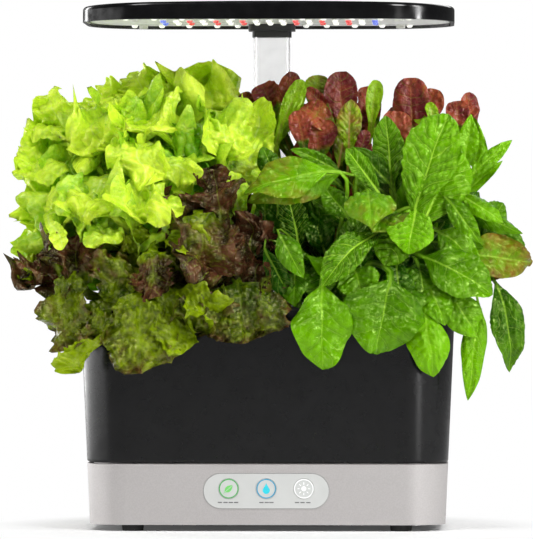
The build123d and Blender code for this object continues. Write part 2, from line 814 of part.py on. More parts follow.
with BuildPart() as grow_deck:
    body_block(bowl_top, deck_top)
    fillet(grow_deck.faces().sort_by(Axis.Z)[-1].edges(), radius=deck_edge_round)
    add(skirt.part)
    notch_block(bowl_top, deck_top)
    with BuildSketch(Plane.XY.offset(bowl_top)):
        with Locations(*pods):
            Circle(basket_radius + fit)
        with Locations((0, -port_place)):
            Rectangle(port_width, port_depth)
    extrude(amount=deck_thickness, mode=Mode.SUBTRACT)
    with BuildSketch(Plane.XY.offset(deck_top - lid_sink)):
        with Locations((0, -port_place)):
            Rectangle(lid_width + 2 * fit, lid_depth + 2 * fit)
    extrude(amount=lid_sink, mode=Mode.SUBTRACT)
    with BuildSketch(Plane.YZ.offset(-lug_place - lug_thickness / 2)):
        with Locations((hinge_y, hinge_z)):
            Circle(barrel_radius)
            Rectangle(2 * barrel_radius, barrel_radius + fit, align=(Align.CENTER, Align.MAX))
    extrude(amount=lug_thickness)
    with BuildSketch(Plane.YZ.offset(lug_place - lug_thickness / 2)):
        with Locations((hinge_y, hinge_z)):
            Circle(barrel_radius)
            Rectangle(2 * barrel_radius, barrel_radius + fit, align=(Align.CENTER, Align.MAX))
    extrude(amount=lug_thickness)
    with BuildSketch(Plane.YZ):
        with Locations((hinge_y, hinge_z)):
            Circle(lid_pin_radius + pin_clearance)
    extrude(amount=lug_place + lug_thickness, both=True, mode=Mode.SUBTRACT)
keep(grow_deck, "grow_deck")

lid_low = deck_top - lid_sink
with BuildPart() as fill_lid:
    with BuildSketch(Plane.XY.offset(lid_low)):
        with Locations((0, -port_place)):
            RectangleRounded(lid_width, lid_depth, edge_round)
    extrude(amount=lid_thickness)
    with BuildSketch(Plane.YZ):
        with Locations((hinge_y, hinge_z)):
            Circle(barrel_radius)
            Rectangle(2 * barrel_radius, barrel_radius - fit, align=(Align.MAX, Align.MAX))
    extrude(amount=barrel_length / 2, both=True)
    with BuildSketch(Plane.YZ):
        with Locations((hinge_y, hinge_z)):
            Circle(lid_pin_radius + pin_clearance)
    extrude(amount=lug_place + lug_thickness, both=True, mode=Mode.SUBTRACT)
keep(fill_lid, "fill_lid")

with BuildPart() as lid_pin:
    with BuildSketch(Plane.YZ):
        with Locations((hinge_y, hinge_z)):
            Circle(lid_pin_radius)
    extrude(amount=lug_place + lug_thickness / 2, both=True)
keep(lid_pin, "lid_pin")

# Net cups and the sponges in them
basket_low = deck_top - basket_depth
flange_top = deck_top + basket_flange_thickness
for number, (across, along) in enumerate(pods, start=1):
    with BuildPart() as basket:
        with BuildSketch(Plane.XY.offset(basket_low)):
            with Locations((across, along)):
                Circle(basket_foot)
        with BuildSketch(Plane.XY.offset(deck_top)):
            with Locations((across, along)):
                Circle(basket_radius)
        loft()
        with BuildSketch(Plane.XY.offset(deck_top)):
            with Locations((across, along)):
                Circle(basket_radius + basket_flange)
        extrude(amount=basket_flange_thickness)
        fillet(basket.faces().sort_by(Axis.Z)[-1].edges(), radius=edge_round)
        with BuildSketch(Plane.XY.offset(basket_low + basket_wall)):
            with Locations((across, along)):
                Circle(basket_foot - basket_wall)
        with BuildSketch(Plane.XY.offset(flange_top)):
            with Locations((across, along)):
                Circle(basket_radius - basket_wall)
        loft(mode=Mode.SUBTRACT)
        with BuildSketch(Plane.XY.offset(basket_low + 4 * basket_wall)):
            with Locations((across, along)):
                with PolarLocations(basket_radius, slot_count):
                    Rectangle(basket_radius, slot_width)
        extrude(amount=slot_height, mode=Mode.SUBTRACT)
    keep(basket, f"basket_{number}")

    with BuildPart() as sponge:
        with BuildSketch(Plane.XY.offset(basket_low + basket_wall)):
            with Locations((across, along)):
                Circle(basket_foot - basket_wall - sponge_gap)
        with BuildSketch(Plane.XY.offset(deck_top + sponge_rise)):
            with Locations((across, along)):
                Circle(basket_radius - basket_wall - 2 * sponge_gap)
        loft()
    keep(sponge, f"sponge_{number}")

# Plants. Each leaf is a folded blade that stands on the crown and arcs over to its tip.
# A tip's place is given in half widths and half depths of the rim, and its height as a share of the
# room between deck and lamp, so that the leaves follow the body. The other values are in blade units:
# rise of the stalk, how far back from the tip and above it the blade comes from, and its width.
rim_half_width = body_width / 2 + outset(deck_top)
rim_half_depth = body_depth / 2 + outset(deck_top)
growing_room = lamp_low - deck_top
blade_shape = ((0, 0.2), (0.22, 0.34), (0.42, 0.66), (0.6, 0.94), (0.76, 1), (0.9, 0.74), (1, 0.25))

lime_back = (
    (-0.45, 0.07, 0.78, 6, 0, -5, 6.2),
    (-0.15, -0.10, 0.70, 7, 0, -3, 5),
    (-0.20, -0.60, 0.54, 9, 1, 1, 5.6),
    (-0.70, 0.32, 0.80, 7, 0, -3, 6),
    (-0.60, -0.42, 0.60, 8, 1, 1, 5),
    (-0.40, 1.28, 0.25, 8, 1, 4, 5.6),
    (-0.74, 1.44, 0.06, 9, 1, 4, 6),
)
lime_end = (
    (-0.98, -0.24, 0.70, 6, 0, -4, 6),
    (-1.26, 0.02, 0.50, 8, 1, 1, 5.6),
    (-1.34, -0.32, 0.20, 7, 1, 2, 5.4),
    (-1.10, -0.80, 0.32, 8, 1, 2, 5.6),
    (-1.26, 0.55, 0.30, 8, 1, 3, 5.6),
    (-1.04, 1.10, 0.12, 8, 1, 4, 5.6),
    (-0.84, 0.25, 0.62, 6, 0, -3, 4),
)
bronze_front = (
    (-0.69, -1.46, -0.22, 6, 0.5, 6, 5.8),
    (-1.06, -1.26, -0.20, 5, 0.5, 6, 4.6),
    (-0.36, -1.38, -0.08, 5, 0.5, 5, 4.6),
    (-0.04, -1.30, -0.10, 5, 0.5, 5, 4),
    (-0.20, -0.88, 0.38, 6, 0, -2, 4),
    (-1.17, -0.95, 0.04, 6, 1, 3, 4.4),
    (-0.52, -1.28, 0.16, 8, 1, 2, 5),
)
red_back = (
    (0.40, 0.26, 0.80, 6, 0, -5, 2.8),
    (0.76, 0.64, 0.80, 6, 0, -5, 3),
    (0.15, 0.36, 0.78, 6, 0, -5, 2.4),
    (1.06, 0.68, 0.68, 6, 0, -3, 3),
    (0.36, 1.28, 0.30, 8, 1, 4, 4),
    (0.66, 1.38, 0.12, 8, 1, 4, 4.4),
    (0.08, -0.06, 0.76, 6, 0, -3, 3),
)
green_end = (
    (0.94, -0.52, 0.66, 5, 0, -5, 4.2),
    (0.77, -1.02, 0.19, 7, 1, 2, 3.6),
    (1.20, -0.88, 0.07, 6, 2, 1.5, 4.6),
    (1.30, -0.26, -0.22, 6, 0.5, 7, 4),
    (1.36, 0.14, 0.12, 6, 2, 1, 4.2),
    (1.28, 0.48, 0.30, 7, 1, 3, 4),
    (0.96, 1.20, -0.08, 7, 1, 6, 4.6),
    (0.76, 0.16, 0.68, 6, 0, -4, 3),
)
green_front = (
    (0.31, -1.28, -0.21, 4, 0.5, 6, 4.2),
    (0.63, -1.40, -0.16, 6, 0.5, 6, 5.4),
    (0.14, -1.12, 0.12, 6, 0.5, 3, 2.6),
    (0.10, -0.66, 0.42, 7, 1, 2, 3.6),
    (0.52, -0.92, 0.34, 7, 1, 3, 3.8),
    (0.62, -0.26, 0.62, 6, 0, -4, 3.4),
    (0.92, -1.34, -0.24, 4, 1, 6, 3.6),
)
plants = (lime_back, lime_end, bronze_front, red_back, green_end, green_front)

crown_low = deck_top + sponge_rise
crown_top = crown_low + crown_height


def leaf(pod, row):
    """One blade from its place on the crown's ring to its tip, folded along its midrib."""
    share_x, share_y, share_z, rise, back, up, width = row
    tip = Vector(share_x * rim_half_width, share_y * rim_half_depth, deck_top + share_z * growing_room)
    heading = Vector(tip.X - pod[0], tip.Y - pod[1], 0).normalized()
    across = heading.cross(Vector(0, 0, 1))
    ring = ring_outer if up > 0 else ring_inner
    root = Vector(pod[0], pod[1], crown_top) + heading * ring
    with BuildLine(mode=Mode.PRIVATE) as spine:
        above_root = root + Vector(0, 0, rise * blade_unit)
        before_tip = tip + (Vector(0, 0, up) - heading * back) * blade_unit
        Bezier(root, above_root, before_tip, tip)
    path = spine.line
    sections = []
    for place, share in blade_shape:
        under = (path % place).cross(across)
        half = width * blade_unit * share / 2
        fold = -blade_fold * half
        outline = [(-half, fold), (0, 0), (half, fold)]
        outline += [(half, fold + blade_thickness), (0, blade_thickness), (-half, fold + blade_thickness)]
        sections.append([path @ place + across * x + under * y for x, y in outline])
    faces = [Face(Wire.make_polygon(section)) for section in (sections[0], sections[-1])]
    for lower, upper in zip(sections, sections[1:]):
        for near, far in zip(range(6), (1, 2, 3, 4, 5, 0)):
            faces.append(Face(Wire.make_polygon([lower[near], lower[far], upper[far]])))
            faces.append(Face(Wire.make_polygon([lower[near], upper[far], upper[near]])))
    return Solid(Shell(faces))


for number, (pod, rows) in enumerate(zip(pods, plants), start=1):
    blades = [leaf(pod, row) for row in rows]
    with BuildPart() as plant:
        with BuildSketch(Plane.XY.offset(crown_low)):
            with Locations(pod):
                Circle(crown_foot)
        with BuildSketch(Plane.XY.offset(crown_top)):
            with Locations(pod):
                Circle(crown_radius)
        loft()
    plant_solids = Compound(children=[plant.part.solid(), *blades])
    plant_solids.label = f"plant_{number}"
    export_step(plant_solids, f"parts/plant_{number}.step")
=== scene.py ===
"""Looks of the countertop hydroponic garden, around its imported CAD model. All lengths are in metres."""

import math

import bpy
import numpy as np
from mathutils import Matrix, Vector


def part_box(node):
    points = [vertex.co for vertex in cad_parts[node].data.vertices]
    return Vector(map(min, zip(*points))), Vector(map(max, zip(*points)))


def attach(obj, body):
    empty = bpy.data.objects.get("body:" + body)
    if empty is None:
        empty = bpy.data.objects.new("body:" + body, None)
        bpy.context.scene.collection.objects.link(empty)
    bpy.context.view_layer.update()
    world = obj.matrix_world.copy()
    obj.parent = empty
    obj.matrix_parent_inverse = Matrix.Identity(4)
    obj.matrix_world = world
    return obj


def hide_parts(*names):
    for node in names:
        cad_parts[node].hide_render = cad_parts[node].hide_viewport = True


MM = 0.001
UP = np.array((0.0, 0.0, 1.0))
WHITE = (1, 1, 1, 1)

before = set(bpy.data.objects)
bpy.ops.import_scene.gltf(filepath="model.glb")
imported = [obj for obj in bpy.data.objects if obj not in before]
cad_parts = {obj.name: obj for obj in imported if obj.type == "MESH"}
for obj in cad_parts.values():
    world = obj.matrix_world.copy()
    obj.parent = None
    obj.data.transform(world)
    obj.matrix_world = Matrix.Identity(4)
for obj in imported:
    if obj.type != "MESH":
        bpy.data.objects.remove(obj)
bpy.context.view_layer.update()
scene = bpy.context.scene


def new_object(name, data):
    """An object with that data, in the scene."""
    made = bpy.data.objects.new(name, data)
    scene.collection.objects.link(made)
    return made


def new_piece(name, mesh, material, body):
    """A visible piece with that mesh, riding on a body."""
    mesh.materials.append(material)
    piece = new_object(name, mesh)
    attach(piece, body)
    return piece


def node_points(node):
    """The vertices of a CAD node, in the frame."""
    return np.array([v.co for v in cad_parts[node].data.vertices])


def node_middle(node):
    """The middle of a CAD node's box, in X and Y."""
    low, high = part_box(node)
    return np.array(((low.x + high.x) / 2, (low.y + high.y) / 2))


# ---- materials


def linear(colour):
    """The linear colour, opaque, of an sRGB colour given from 0 to 255."""
    shares = [part / 255 for part in colour]
    return (*(c / 12.92 if c <= 0.04045 else ((c + 0.055) / 1.055) ** 2.4 for c in shares), 1)


class Nodes:
    """A node tree, with short calls that add nodes to it."""

    def __init__(self, tree):
        self.tree = tree

    def feed(self, socket, value):
        if isinstance(value, bpy.types.NodeSocket):
            self.tree.links.new(value, socket)
        else:
            socket.default_value = value

    def node(self, kind, inputs=(), **settings):
        made = self.tree.nodes.new("ShaderNode" + kind)
        for key, value in settings.items():
            setattr(made, key, value)
        for key, value in dict(inputs).items():
            self.feed(made.inputs[key], value)
        return made

    def maths(self, operation, first, second):
        return self.node("Math", {0: first, 1: second}, operation=operation).outputs[0]

    def add(self, first, second):
        return self.maths("ADD", first, second)

    def times(self, first, second):
        return self.maths("MULTIPLY", first, second)

    def mix_shaders(self, share, first, second):
        return self.node("MixShader", {0: share, 1: first, 2: second}).outputs[0]


class Finish(Nodes):
    """A material with one Principled shader, and short calls that add nodes in front of it."""

    def __init__(self, name, colour, roughness, **sockets):
        self.material = bpy.data.materials.new(name)
        self.material.use_nodes = True
        super().__init__(self.material.node_tree)
        self.shader = self.tree.nodes["Principled BSDF"]
        self.output = self.tree.nodes["Material Output"]
        self.paint(linear(colour))
        self.rough(roughness)
        for socket, value in sockets.items():
            self.feed(self.shader.inputs[socket.replace("_", " ")], value)
        self.place = self.node("TexCoord").outputs["Object"]

    def noise(self, size, detail=2.0):
        """Noise round 0.5 with lumps about that size."""
        inputs = {"Vector": self.place, "Scale": 1 / size, "Detail": detail}
        return self.node("TexNoise", inputs).outputs["Fac"]

    def cloud(self, size, detail, low=0.0, high=1.0):
        """Noise with its usual range stretched to low and high."""
        return self.spread(self.noise(size, detail), 0.3, 0.7, low, high)

    def cells(self, size, feature="F1"):
        inputs = {"Vector": self.place, "Scale": 1 / size}
        return self.node("TexVoronoi", inputs, feature=feature).outputs["Distance"]

    def attribute(self, name):
        return self.node("Attribute", attribute_name=name).outputs["Fac"]

    def spread(self, value, low, high, to_low=0.0, to_high=1.0):
        """value moved from the range low to high onto the range to_low to to_high, with soft ends."""
        inputs = {"Value": value, "From Min": low, "From Max": high, "To Min": to_low, "To Max": to_high}
        return self.node("MapRange", inputs, interpolation_type="SMOOTHSTEP").outputs["Result"]

    def mix(self, share, first, second):
        made = self.node("Mix", {0: share, 6: first, 7: second}, data_type="RGBA")
        return made.outputs[2]

    def shade(self, share, first, second):
        """A mix of two sRGB colours."""
        return self.mix(share, linear(first), linear(second))

    def paint(self, colour):
        self.feed(self.shader.inputs["Base Color"], colour)

    def rough(self, value):
        self.feed(self.shader.inputs["Roughness"], value)

    def bump(self, height, distance, before=None):
        inputs = {"Height": height, "Distance": distance, "Strength": 1.0}
        if before:
            inputs["Normal"] = before
        normal = self.node("Bump", inputs).outputs["Normal"]
        self.feed(self.shader.inputs["Normal"], normal)
        return normal


def moulded(name, colour, roughness, grain=0.7 * MM, relief=0.02 * MM, change=5, **sockets):
    """Moulded plastic: a fine grain, a slow change of tone and slightly uneven gloss."""
    made = Finish(name, colour, roughness, **sockets)
    darker = tuple(max(0, c - change) for c in colour)
    lighter = tuple(min(255, c + change) for c in colour)
    made.paint(made.shade(made.cloud(18 * MM, 4.0), darker, lighter))
    made.rough(made.cloud(9 * MM, 3.0, roughness - 0.04, roughness + 0.05))
    made.bump(made.noise(grain), relief)
    return made.material


def dress(material, *nodes):
    """Gives carried-over CAD nodes their finish."""
    for name in nodes:
        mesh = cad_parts[name].data
        mesh.materials.clear()
        mesh.materials.append(material)


silver = Finish("silver_plastic", (196, 192, 191), 0.42, Metallic=0.25)
flake = silver.spread(silver.noise(0.9 * MM, 1.0), 0.35, 0.65)
slow = silver.cloud(40 * MM, 3.0)
silver.paint(silver.mix(slow, silver.shade(flake, (179, 175, 174), (185, 181, 180)),
                        silver.shade(flake, (181, 177, 176), (187, 183, 182))))
silver.rough(silver.cloud(6 * MM, 3.0, 0.38, 0.47))
silver.bump(silver.noise(0.6 * MM), 0.012 * MM)

black_bowl = moulded("black_bowl", (5, 5, 6), 0.24, grain=0.9 * MM, change=3, Specular_IOR_Level=0.3)
black_deck = moulded("black_deck", (33, 33, 34), 0.5, grain=1.1 * MM, relief=0.04 * MM, change=3)
black_lamp = moulded("black_lamp", (9, 9, 10), 0.17, grain=1.2 * MM, relief=0.005 * MM, change=2)
black_part = moulded("black_part", (34, 34, 35), 0.48, change=3)
black_cover = moulded("black_cover", (36, 36, 37), 0.6, grain=1.0 * MM, relief=0.06 * MM, change=4)
basket_plastic = moulded("basket_plastic", (24, 24, 24), 0.45, change=3)
panel_plastic = moulded("panel_plastic", (202, 203, 201), 0.5, relief=0.006 * MM, change=2)
key_plastic = moulded("key_plastic", (202, 204, 202), 0.46, relief=0.005 * MM, change=2)
foot_rubber = moulded("foot_rubber", (30, 30, 30), 0.85, grain=0.8 * MM, relief=0.05 * MM, change=4)
board_laminate = moulded("board_laminate", (26, 92, 52), 0.4, change=8)
board_white = moulded("board_white", (236, 236, 234), 0.45, relief=0.01 * MM, change=3)
pump_plastic = moulded("pump_plastic", (52, 54, 56), 0.5, change=4)
rotor_plastic = moulded("rotor_plastic", (206, 208, 210), 0.4, change=4)
float_plastic = moulded("float_plastic", (230, 122, 42), 0.45, change=8)


def metal(name, colour, roughness):
    """Turned or stamped metal with fine streaks."""
    made = Finish(name, colour, roughness, Metallic=1.0)
    streak = made.cloud(0.8 * MM, 4.0)
    dull = tuple(c - 16 for c in colour)
    made.paint(made.shade(streak, dull, colour))
    made.rough(made.cloud(2 * MM, 3.0, roughness - 0.06, roughness + 0.1))
    made.bump(streak, 0.008 * MM)
    return made.material


screw_steel = metal("screw_steel", (176, 177, 179), 0.3)
switch_steel = metal("switch_steel", (186, 186, 184), 0.35)
contact_brass = metal("contact_brass", (204, 166, 92), 0.3)

peg_plastic = Finish("peg_plastic", (238, 238, 230), 0.3, Transmission_Weight=0.25)
peg_plastic.paint(peg_plastic.shade(peg_plastic.noise(2 * MM), (226, 227, 219), (246, 246, 240)))
peg_plastic.bump(peg_plastic.noise(0.8 * MM), 0.01 * MM)

post_plastic = Finish("post_plastic", (250, 250, 250), 0.14, Transmission_Weight=0.96, IOR=1.35)
post_streak = post_plastic.cloud(7 * MM, 3.0)
post_plastic.paint(post_plastic.shade(post_streak, (247, 247, 247), (252, 252, 252)))
post_plastic.bump(post_plastic.noise(1.0 * MM), 0.006 * MM)


def lens(name, core, rim, glow):
    """A small moulded lens, with a paler core that gives a little light of its own."""
    made = Finish(name, core, 0.22, Coat_Weight=0.4)
    cloud = made.spread(made.noise(1.3 * MM), 0.35, 0.65)
    made.paint(made.shade(cloud, core, rim))
    made.feed(made.shader.inputs["Emission Color"], linear(core))
    made.feed(made.shader.inputs["Emission Strength"], glow)
    made.bump(made.noise(0.7 * MM), 0.01 * MM)
    return made.material


led_white = lens("led_white", (255, 255, 250), (240, 240, 232), 0.5)
led_red = lens("led_red", (240, 70, 70), (246, 128, 124), 0.35)
led_blue = lens("led_blue", (96, 118, 240), (150, 165, 248), 0.35)


def foam(name, light, dark, pore):
    """Open foam: pores of two sizes that are darker inside, painted shade that follows the bump's low parts.
    """
    made = Finish(name, light, 0.95)
    hollow = made.spread(made.cells(pore), 0.1, 0.55)
    small = made.spread(made.cells(pore * 0.45), 0.1, 0.6)
    both = made.times(hollow, small)
    # Painted shade: the low parts of the pores take the dark colour.
    made.paint(made.shade(both, light, dark))
    made.bump(made.maths("SUBTRACT", 1.0, both), 0.35 * MM)
    return made.material


sponge_foam = foam("sponge_foam", (104, 74, 50), (52, 36, 24), 1.6 * MM)
filter_foam = foam("filter_foam", (62, 64, 66), (26, 27, 28), 1.4 * MM)

dress(silver.material, "base_housing")
dress(black_cover, "bottom_cover")
dress(screw_steel, "cover_screws", "board_screws", "bracket_screws", "lid_pin", "pump_shaft")
dress(foot_rubber, "foot_front_left", "foot_front_right", "foot_rear_left", "foot_rear_right")
dress(panel_plastic, "control_overlay")
dress(key_plastic, "key_food", "key_water", "key_light")
dress(board_laminate, "control_board")
dress(switch_steel, "dome_switches")
dress(contact_brass, "base_contacts", "bowl_contacts")
dress(black_part, "power_jack", "post_sleeve", "sleeve_collar", "post_shoe", "lamp_bracket", "fill_lid")
dress(post_plastic.material, "lamp_post")
dress(black_lamp, "lamp_shell")
dress(board_white, "led_board")
dress(peg_plastic.material, "board_pegs")
dress(led_white, "white_leds")
dress(led_red, "red_leds")
dress(led_blue, "blue_leds")
dress(black_bowl, "bowl")
dress(black_deck, "grow_deck")
dress(pump_plastic, "pump_housing", "pump_cover", "float_guide")
dress(rotor_plastic, "pump_rotor")
dress(float_plastic, "water_float")
dress(basket_plastic, *[f"basket_{number}" for number in range(1, 7)])


# ---- flat prints and tracks


def front_face(node, lean):
    """A frame on the front of a node: x to the right, y up the leaning wall and z out of it."""
    out = np.array((0, -math.cos(lean), -math.sin(lean)))
    rise = np.array((0, -math.sin(lean), math.cos(lean)))
    points = node_points(node)
    heights = points @ rise
    height = (heights.min() + heights.max()) / 2
    place = np.array((node_middle(node)[0], 0, 0)) + rise * height + out * (points @ out).max()
    return Matrix(np.vstack((np.column_stack(((1, 0, 0), rise, out, place)), (0, 0, 0, 1))).tolist())


def flat_piece(name, loops, matrix, thickness, material, body):
    """Closed outlines filled and thickened, lying on a frame's XY plane. Inner outlines are holes."""
    curve = bpy.data.curves.new(name, "CURVE")
    curve.dimensions = "2D"
    curve.fill_mode = "BOTH"
    curve.extrude = thickness
    for loop in loops:
        spline = curve.splines.new("POLY")
        spline.points.add(len(loop) - 1)
        for point, (x, y) in zip(spline.points, loop):
            point.co = (x, y, 0, 1)
        spline.use_cyclic_u = True
    holder = new_object(name + "_outline", curve)
    bpy.context.view_layer.update()
    mesh = bpy.data.meshes.new_from_object(holder.evaluated_get(bpy.context.evaluated_depsgraph_get()))
    bpy.data.objects.remove(holder)
    mesh.transform(matrix)
    mesh.materials.clear()
    new_piece(name, mesh, material, body)


def circle(radius, steps=64):
    """A polygon that stands for a circle."""
    turns = [2 * math.pi * i / steps for i in range(steps)]
    return [(radius * math.cos(t), radius * math.sin(t)) for t in turns]


def bar(x, y, width, height, turn=0.0):
    """A small rectangle with cut corners round a middle."""
    w, h = width / 2, height / 2
    cut = min(w, h) / 2
    corners = [(-w + cut, -h), (w - cut, -h), (w, -h + cut), (w, h - cut),
               (w - cut, h), (-w + cut, h), (-w, h - cut), (-w, -h + cut)]
    c, s = math.cos(turn), math.sin(turn)
    return [(x + a * c - b * s, y + a * s + b * c) for a, b in corners]


def ink(name, colour):
    """Printed ink: slightly uneven cover, with a soft gloss."""
    made = Finish(name, colour, 0.4)
    thin = tuple(min(255, c + 14) for c in colour)
    made.paint(made.shade(made.spread(made.noise(0.9 * MM), 0.4, 0.75), colour, thin))
    made.bump(made.noise(0.5 * MM, 1.0), 0.004 * MM)
    return made.material


green_ink = ink("green_ink", (84, 172, 92))
pale_green_ink = ink("pale_green_ink", (112, 206, 104))
blue_ink = ink("blue_ink", (62, 156, 194))
cyan_ink = ink("cyan_ink", (44, 206, 224))
white_ink = ink("white_ink", (255, 255, 255))
grey_ink = ink("grey_ink", (104, 104, 106))
line_ink = ink("line_ink", (158, 158, 158))

WALL_LEAN = math.radians(2.5)
PRINT = 0.05 * MM
RING_OUT, RING_IN = 6.95 * MM, 6.15 * MM


def on_key(key, kind, loops, material):
    """A print on the front of one of the three keys."""
    face = front_face(f"key_{key}", WALL_LEAN)
    flat_piece(f"{kind}_{key}", loops, face, PRINT, material, f"key_{key}")


ring = [circle(RING_OUT), circle(RING_IN)]
on_key("food", "ring", ring, green_ink)
on_key("water", "ring", ring, blue_ink)
on_key("light", "ring", ring, white_ink)


def leaf_icon():
    """Two halves of a slanted leaf, apart by the width of its midrib, and its stalk."""
    half, belly, rib, steps, slant = 3.9 * MM, 2.1 * MM, 0.16 * MM, 18, math.radians(42)
    halves = []
    for side in (-1, 1):
        outer = [(half * (2 * i / steps - 1), side * belly * math.sin(math.pi * (i / steps) ** 0.85))
                 for i in range(steps + 1)]
        inner = [(half * x, side * rib) for x in (0.94, 0.88, 0.82, -0.92)]
        halves.append(outer + inner)
    stalk = [(-half * 1.3, -0.3 * MM), (-half, -0.2 * MM), (-half, 0.2 * MM), (-half * 1.3, 0.1 * MM)]
    c, s = math.cos(slant), math.sin(slant)
    return [[(x * c - y * s, x * s + y * c) for x, y in loop] for loop in (*halves, stalk)]


def drop_icon():
    """A drop: a round foot that narrows to a point."""
    radius, foot, peak = 2.55 * MM, -1.2 * MM, 4.0 * MM
    rounded = [(radius * math.cos(t), foot + radius * math.sin(t))
               for t in [math.radians(a) for a in range(-205, 26, 10)]]
    wide, low = rounded[-1]
    flank = [(wide * (1 - u) ** 1.25, low + (peak - low) * u) for u in (0.25, 0.5, 0.75)]
    mirror = [(-x, y) for x, y in reversed(flank)]
    return [rounded + flank + [(0, peak)] + mirror]


def sun_icon():
    """A disc with eight short rays."""
    disc, from_disc, ray_long, ray_wide = 1.75 * MM, 3.7 * MM, 1.7 * MM, 0.55 * MM
    turns = [math.pi * i / 4 for i in range(8)]
    rays = [bar(from_disc * math.cos(t), from_disc * math.sin(t), ray_long, ray_wide, t) for t in turns]
    return [circle(disc, steps=40), *rays]


on_key("food", "icon", leaf_icon(), pale_green_ink)
on_key("water", "icon", drop_icon(), cyan_ink)
on_key("light", "icon", sun_icon(), white_ink)

# Plain dashes where the panel has its captions, and the fine line round the panel
KEY_PITCH = 26.5 * MM
CAPTION_DROP = 8.1 * MM
DASH_LONG, DASH_TALL = 3.1 * MM, 0.8 * MM
LINE = 0.35 * MM
caption_dashes = {-1: (-6.2, -2.3, 1.4, 5.2), 0: (-3.4, 0.3, 3.6), 1: (-4.8, -0.9, 3.2)}
panel_face = front_face("control_overlay", WALL_LEAN)
dashes = [bar(key * KEY_PITCH + x * MM, -CAPTION_DROP, DASH_LONG, DASH_TALL)
          for key, places in caption_dashes.items() for x in places]
flat_piece("panel_captions", dashes, panel_face, PRINT, grey_ink, "base")


def stadium(length, height, steps=24):
    radius, reach = height / 2, (length - height) / 2
    turns = [math.pi * i / steps for i in range(steps + 1)]
    right = [(reach + radius * math.sin(t), -radius * math.cos(t)) for t in turns]
    return right + [(-x, -y) for x, y in right]


panel_low, panel_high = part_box("control_overlay")
panel_long = panel_high.x - panel_low.x
panel_tall = (panel_high.z - panel_low.z) / math.cos(WALL_LEAN)
outline = [stadium(panel_long, panel_tall), stadium(panel_long - 2 * LINE, panel_tall - 2 * LINE)]
flat_piece("panel_line", outline, panel_face, PRINT / 2, line_ink, "base")

# Tracks and lamp packages on the underside of the LED board
TRACK_REACH, TRACK_SHORT, TRACK_WIDE, TRACK_OFFSET = 30 * MM, 3 * MM, 1.0 * MM, 2.6 * MM
PACKAGE, PACKAGE_TALL, LED_APART = 5.4 * MM, 0.45 * MM, 5 * MM
board_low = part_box("led_board")[0].z
under_board = Matrix([(1, 0, 0, 0), (0, -1, 0, 0), (0, 0, -1, board_low), (0, 0, 0, 1)])
track_ink = ink("track_ink", (168, 170, 168))


def islands(node):
    """The middles, in X and Y, of the separate lumps of a CAD node."""
    lumps = []
    for point in node_points(node)[:, :2]:
        for lump in lumps:
            if np.linalg.norm(point - lump[0]) < LED_APART:
                lump.append(point)
                break
        else:
            lumps.append([point])
    return [(np.min(lump, 0) + np.max(lump, 0)) / 2 for lump in lumps]


leds = [tuple(place) for node in ("white_leds", "red_leds", "blue_leds") for place in islands(node)]
tracks = []
for row in sorted({round(y / MM) for _, y in leds}):
    line = sorted((x, y) for x, y in leds if round(y / MM) == row)
    for (x, y), (after, _) in zip(line, line[1:]):
        if after - x < TRACK_REACH:
            tracks += [bar((x + after) / 2, offset - y, after - x - TRACK_SHORT, TRACK_WIDE)
                       for offset in (-TRACK_OFFSET, TRACK_OFFSET)]
flat_piece("board_tracks", tracks, under_board, PRINT, track_ink, "lamp")

package_matt = ink("package_white", (244, 244, 240))
packages = [bar(x, -y, PACKAGE, PACKAGE) for x, y in leds]
flat_piece("led_packages", packages, under_board, PACKAGE_TALL, package_matt, "lamp")


# ---- sponges and filter


def foam_plug(name, node, material, body, seed):
    """A round foam plug in a node's place: taper and height from its box, uneven skin, soft edges."""
    around, levels, edge, wear, sag, dent = 48, 14, 1.6 * MM, 0.35 * MM, 0.12 * MM, 0.2 * MM
    low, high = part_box(node)
    points, middle = node_points(node), node_middle(node)
    from_axis = np.linalg.norm(points[:, :2] - middle, axis=1)
    foot = from_axis[points[:, 2] < low.z + 0.5 * MM].max()
    head = from_axis[points[:, 2] > high.z - 3 * MM].max()
    height = high.z - low.z
    profile = [(0.5 * foot, 0.0), (foot - edge, 0.0)]
    profile += [(foot + (head - foot) * i / levels, edge + (height - 2 * edge) * i / levels)
                for i in range(levels + 1)]
    profile += [(head - edge * (1 - math.cos(a)), height - edge + edge * math.sin(a))
                for a in (math.pi / 6, math.pi / 3, math.pi / 2)]
    profile += [(head * r, height) for r in (0.75, 0.55, 0.35, 0.15)]
    rng = np.random.default_rng(seed)
    vertices, faces = [], []
    for radius, rise in profile:
        for step in range(around):
            turn = 2 * math.pi * step / around
            worn = radius - rng.uniform(0, wear)
            sunk = abs(rng.normal(0, sag)) if rise > height - 0.1 * MM else 0
            vertices.append((middle[0] + worn * math.cos(turn), middle[1] + worn * math.sin(turn),
                             low.z + rise - sunk))
    steps = [(step, (step + 1) % around) for step in range(around)]
    for a in range(0, len(vertices) - around, around):
        faces += [(a + step, a + after, a + around + after, a + around + step) for step, after in steps]
    last, bottom, top = len(vertices) - around, len(vertices), len(vertices) + 1
    for step, after in steps:
        faces += [(bottom, after, step), (top, last + step, last + after)]
    vertices += [(*middle, low.z), (*middle, high.z - dent)]
    mesh = bpy.data.meshes.new(name)
    mesh.from_pydata(vertices, [], faces)
    mesh.polygons.foreach_set("use_smooth", [True] * len(faces))
    mesh.update()
    piece = new_piece(name, mesh, material, body)
    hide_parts(node)


for number in range(1, 7):
    foam_plug(f"foam_plug_{number}", f"sponge_{number}", sponge_foam, "deck", number)
foam_plug("filter_disc", "pump_filter", filter_foam, "bowl", 9)


# ---- leaves

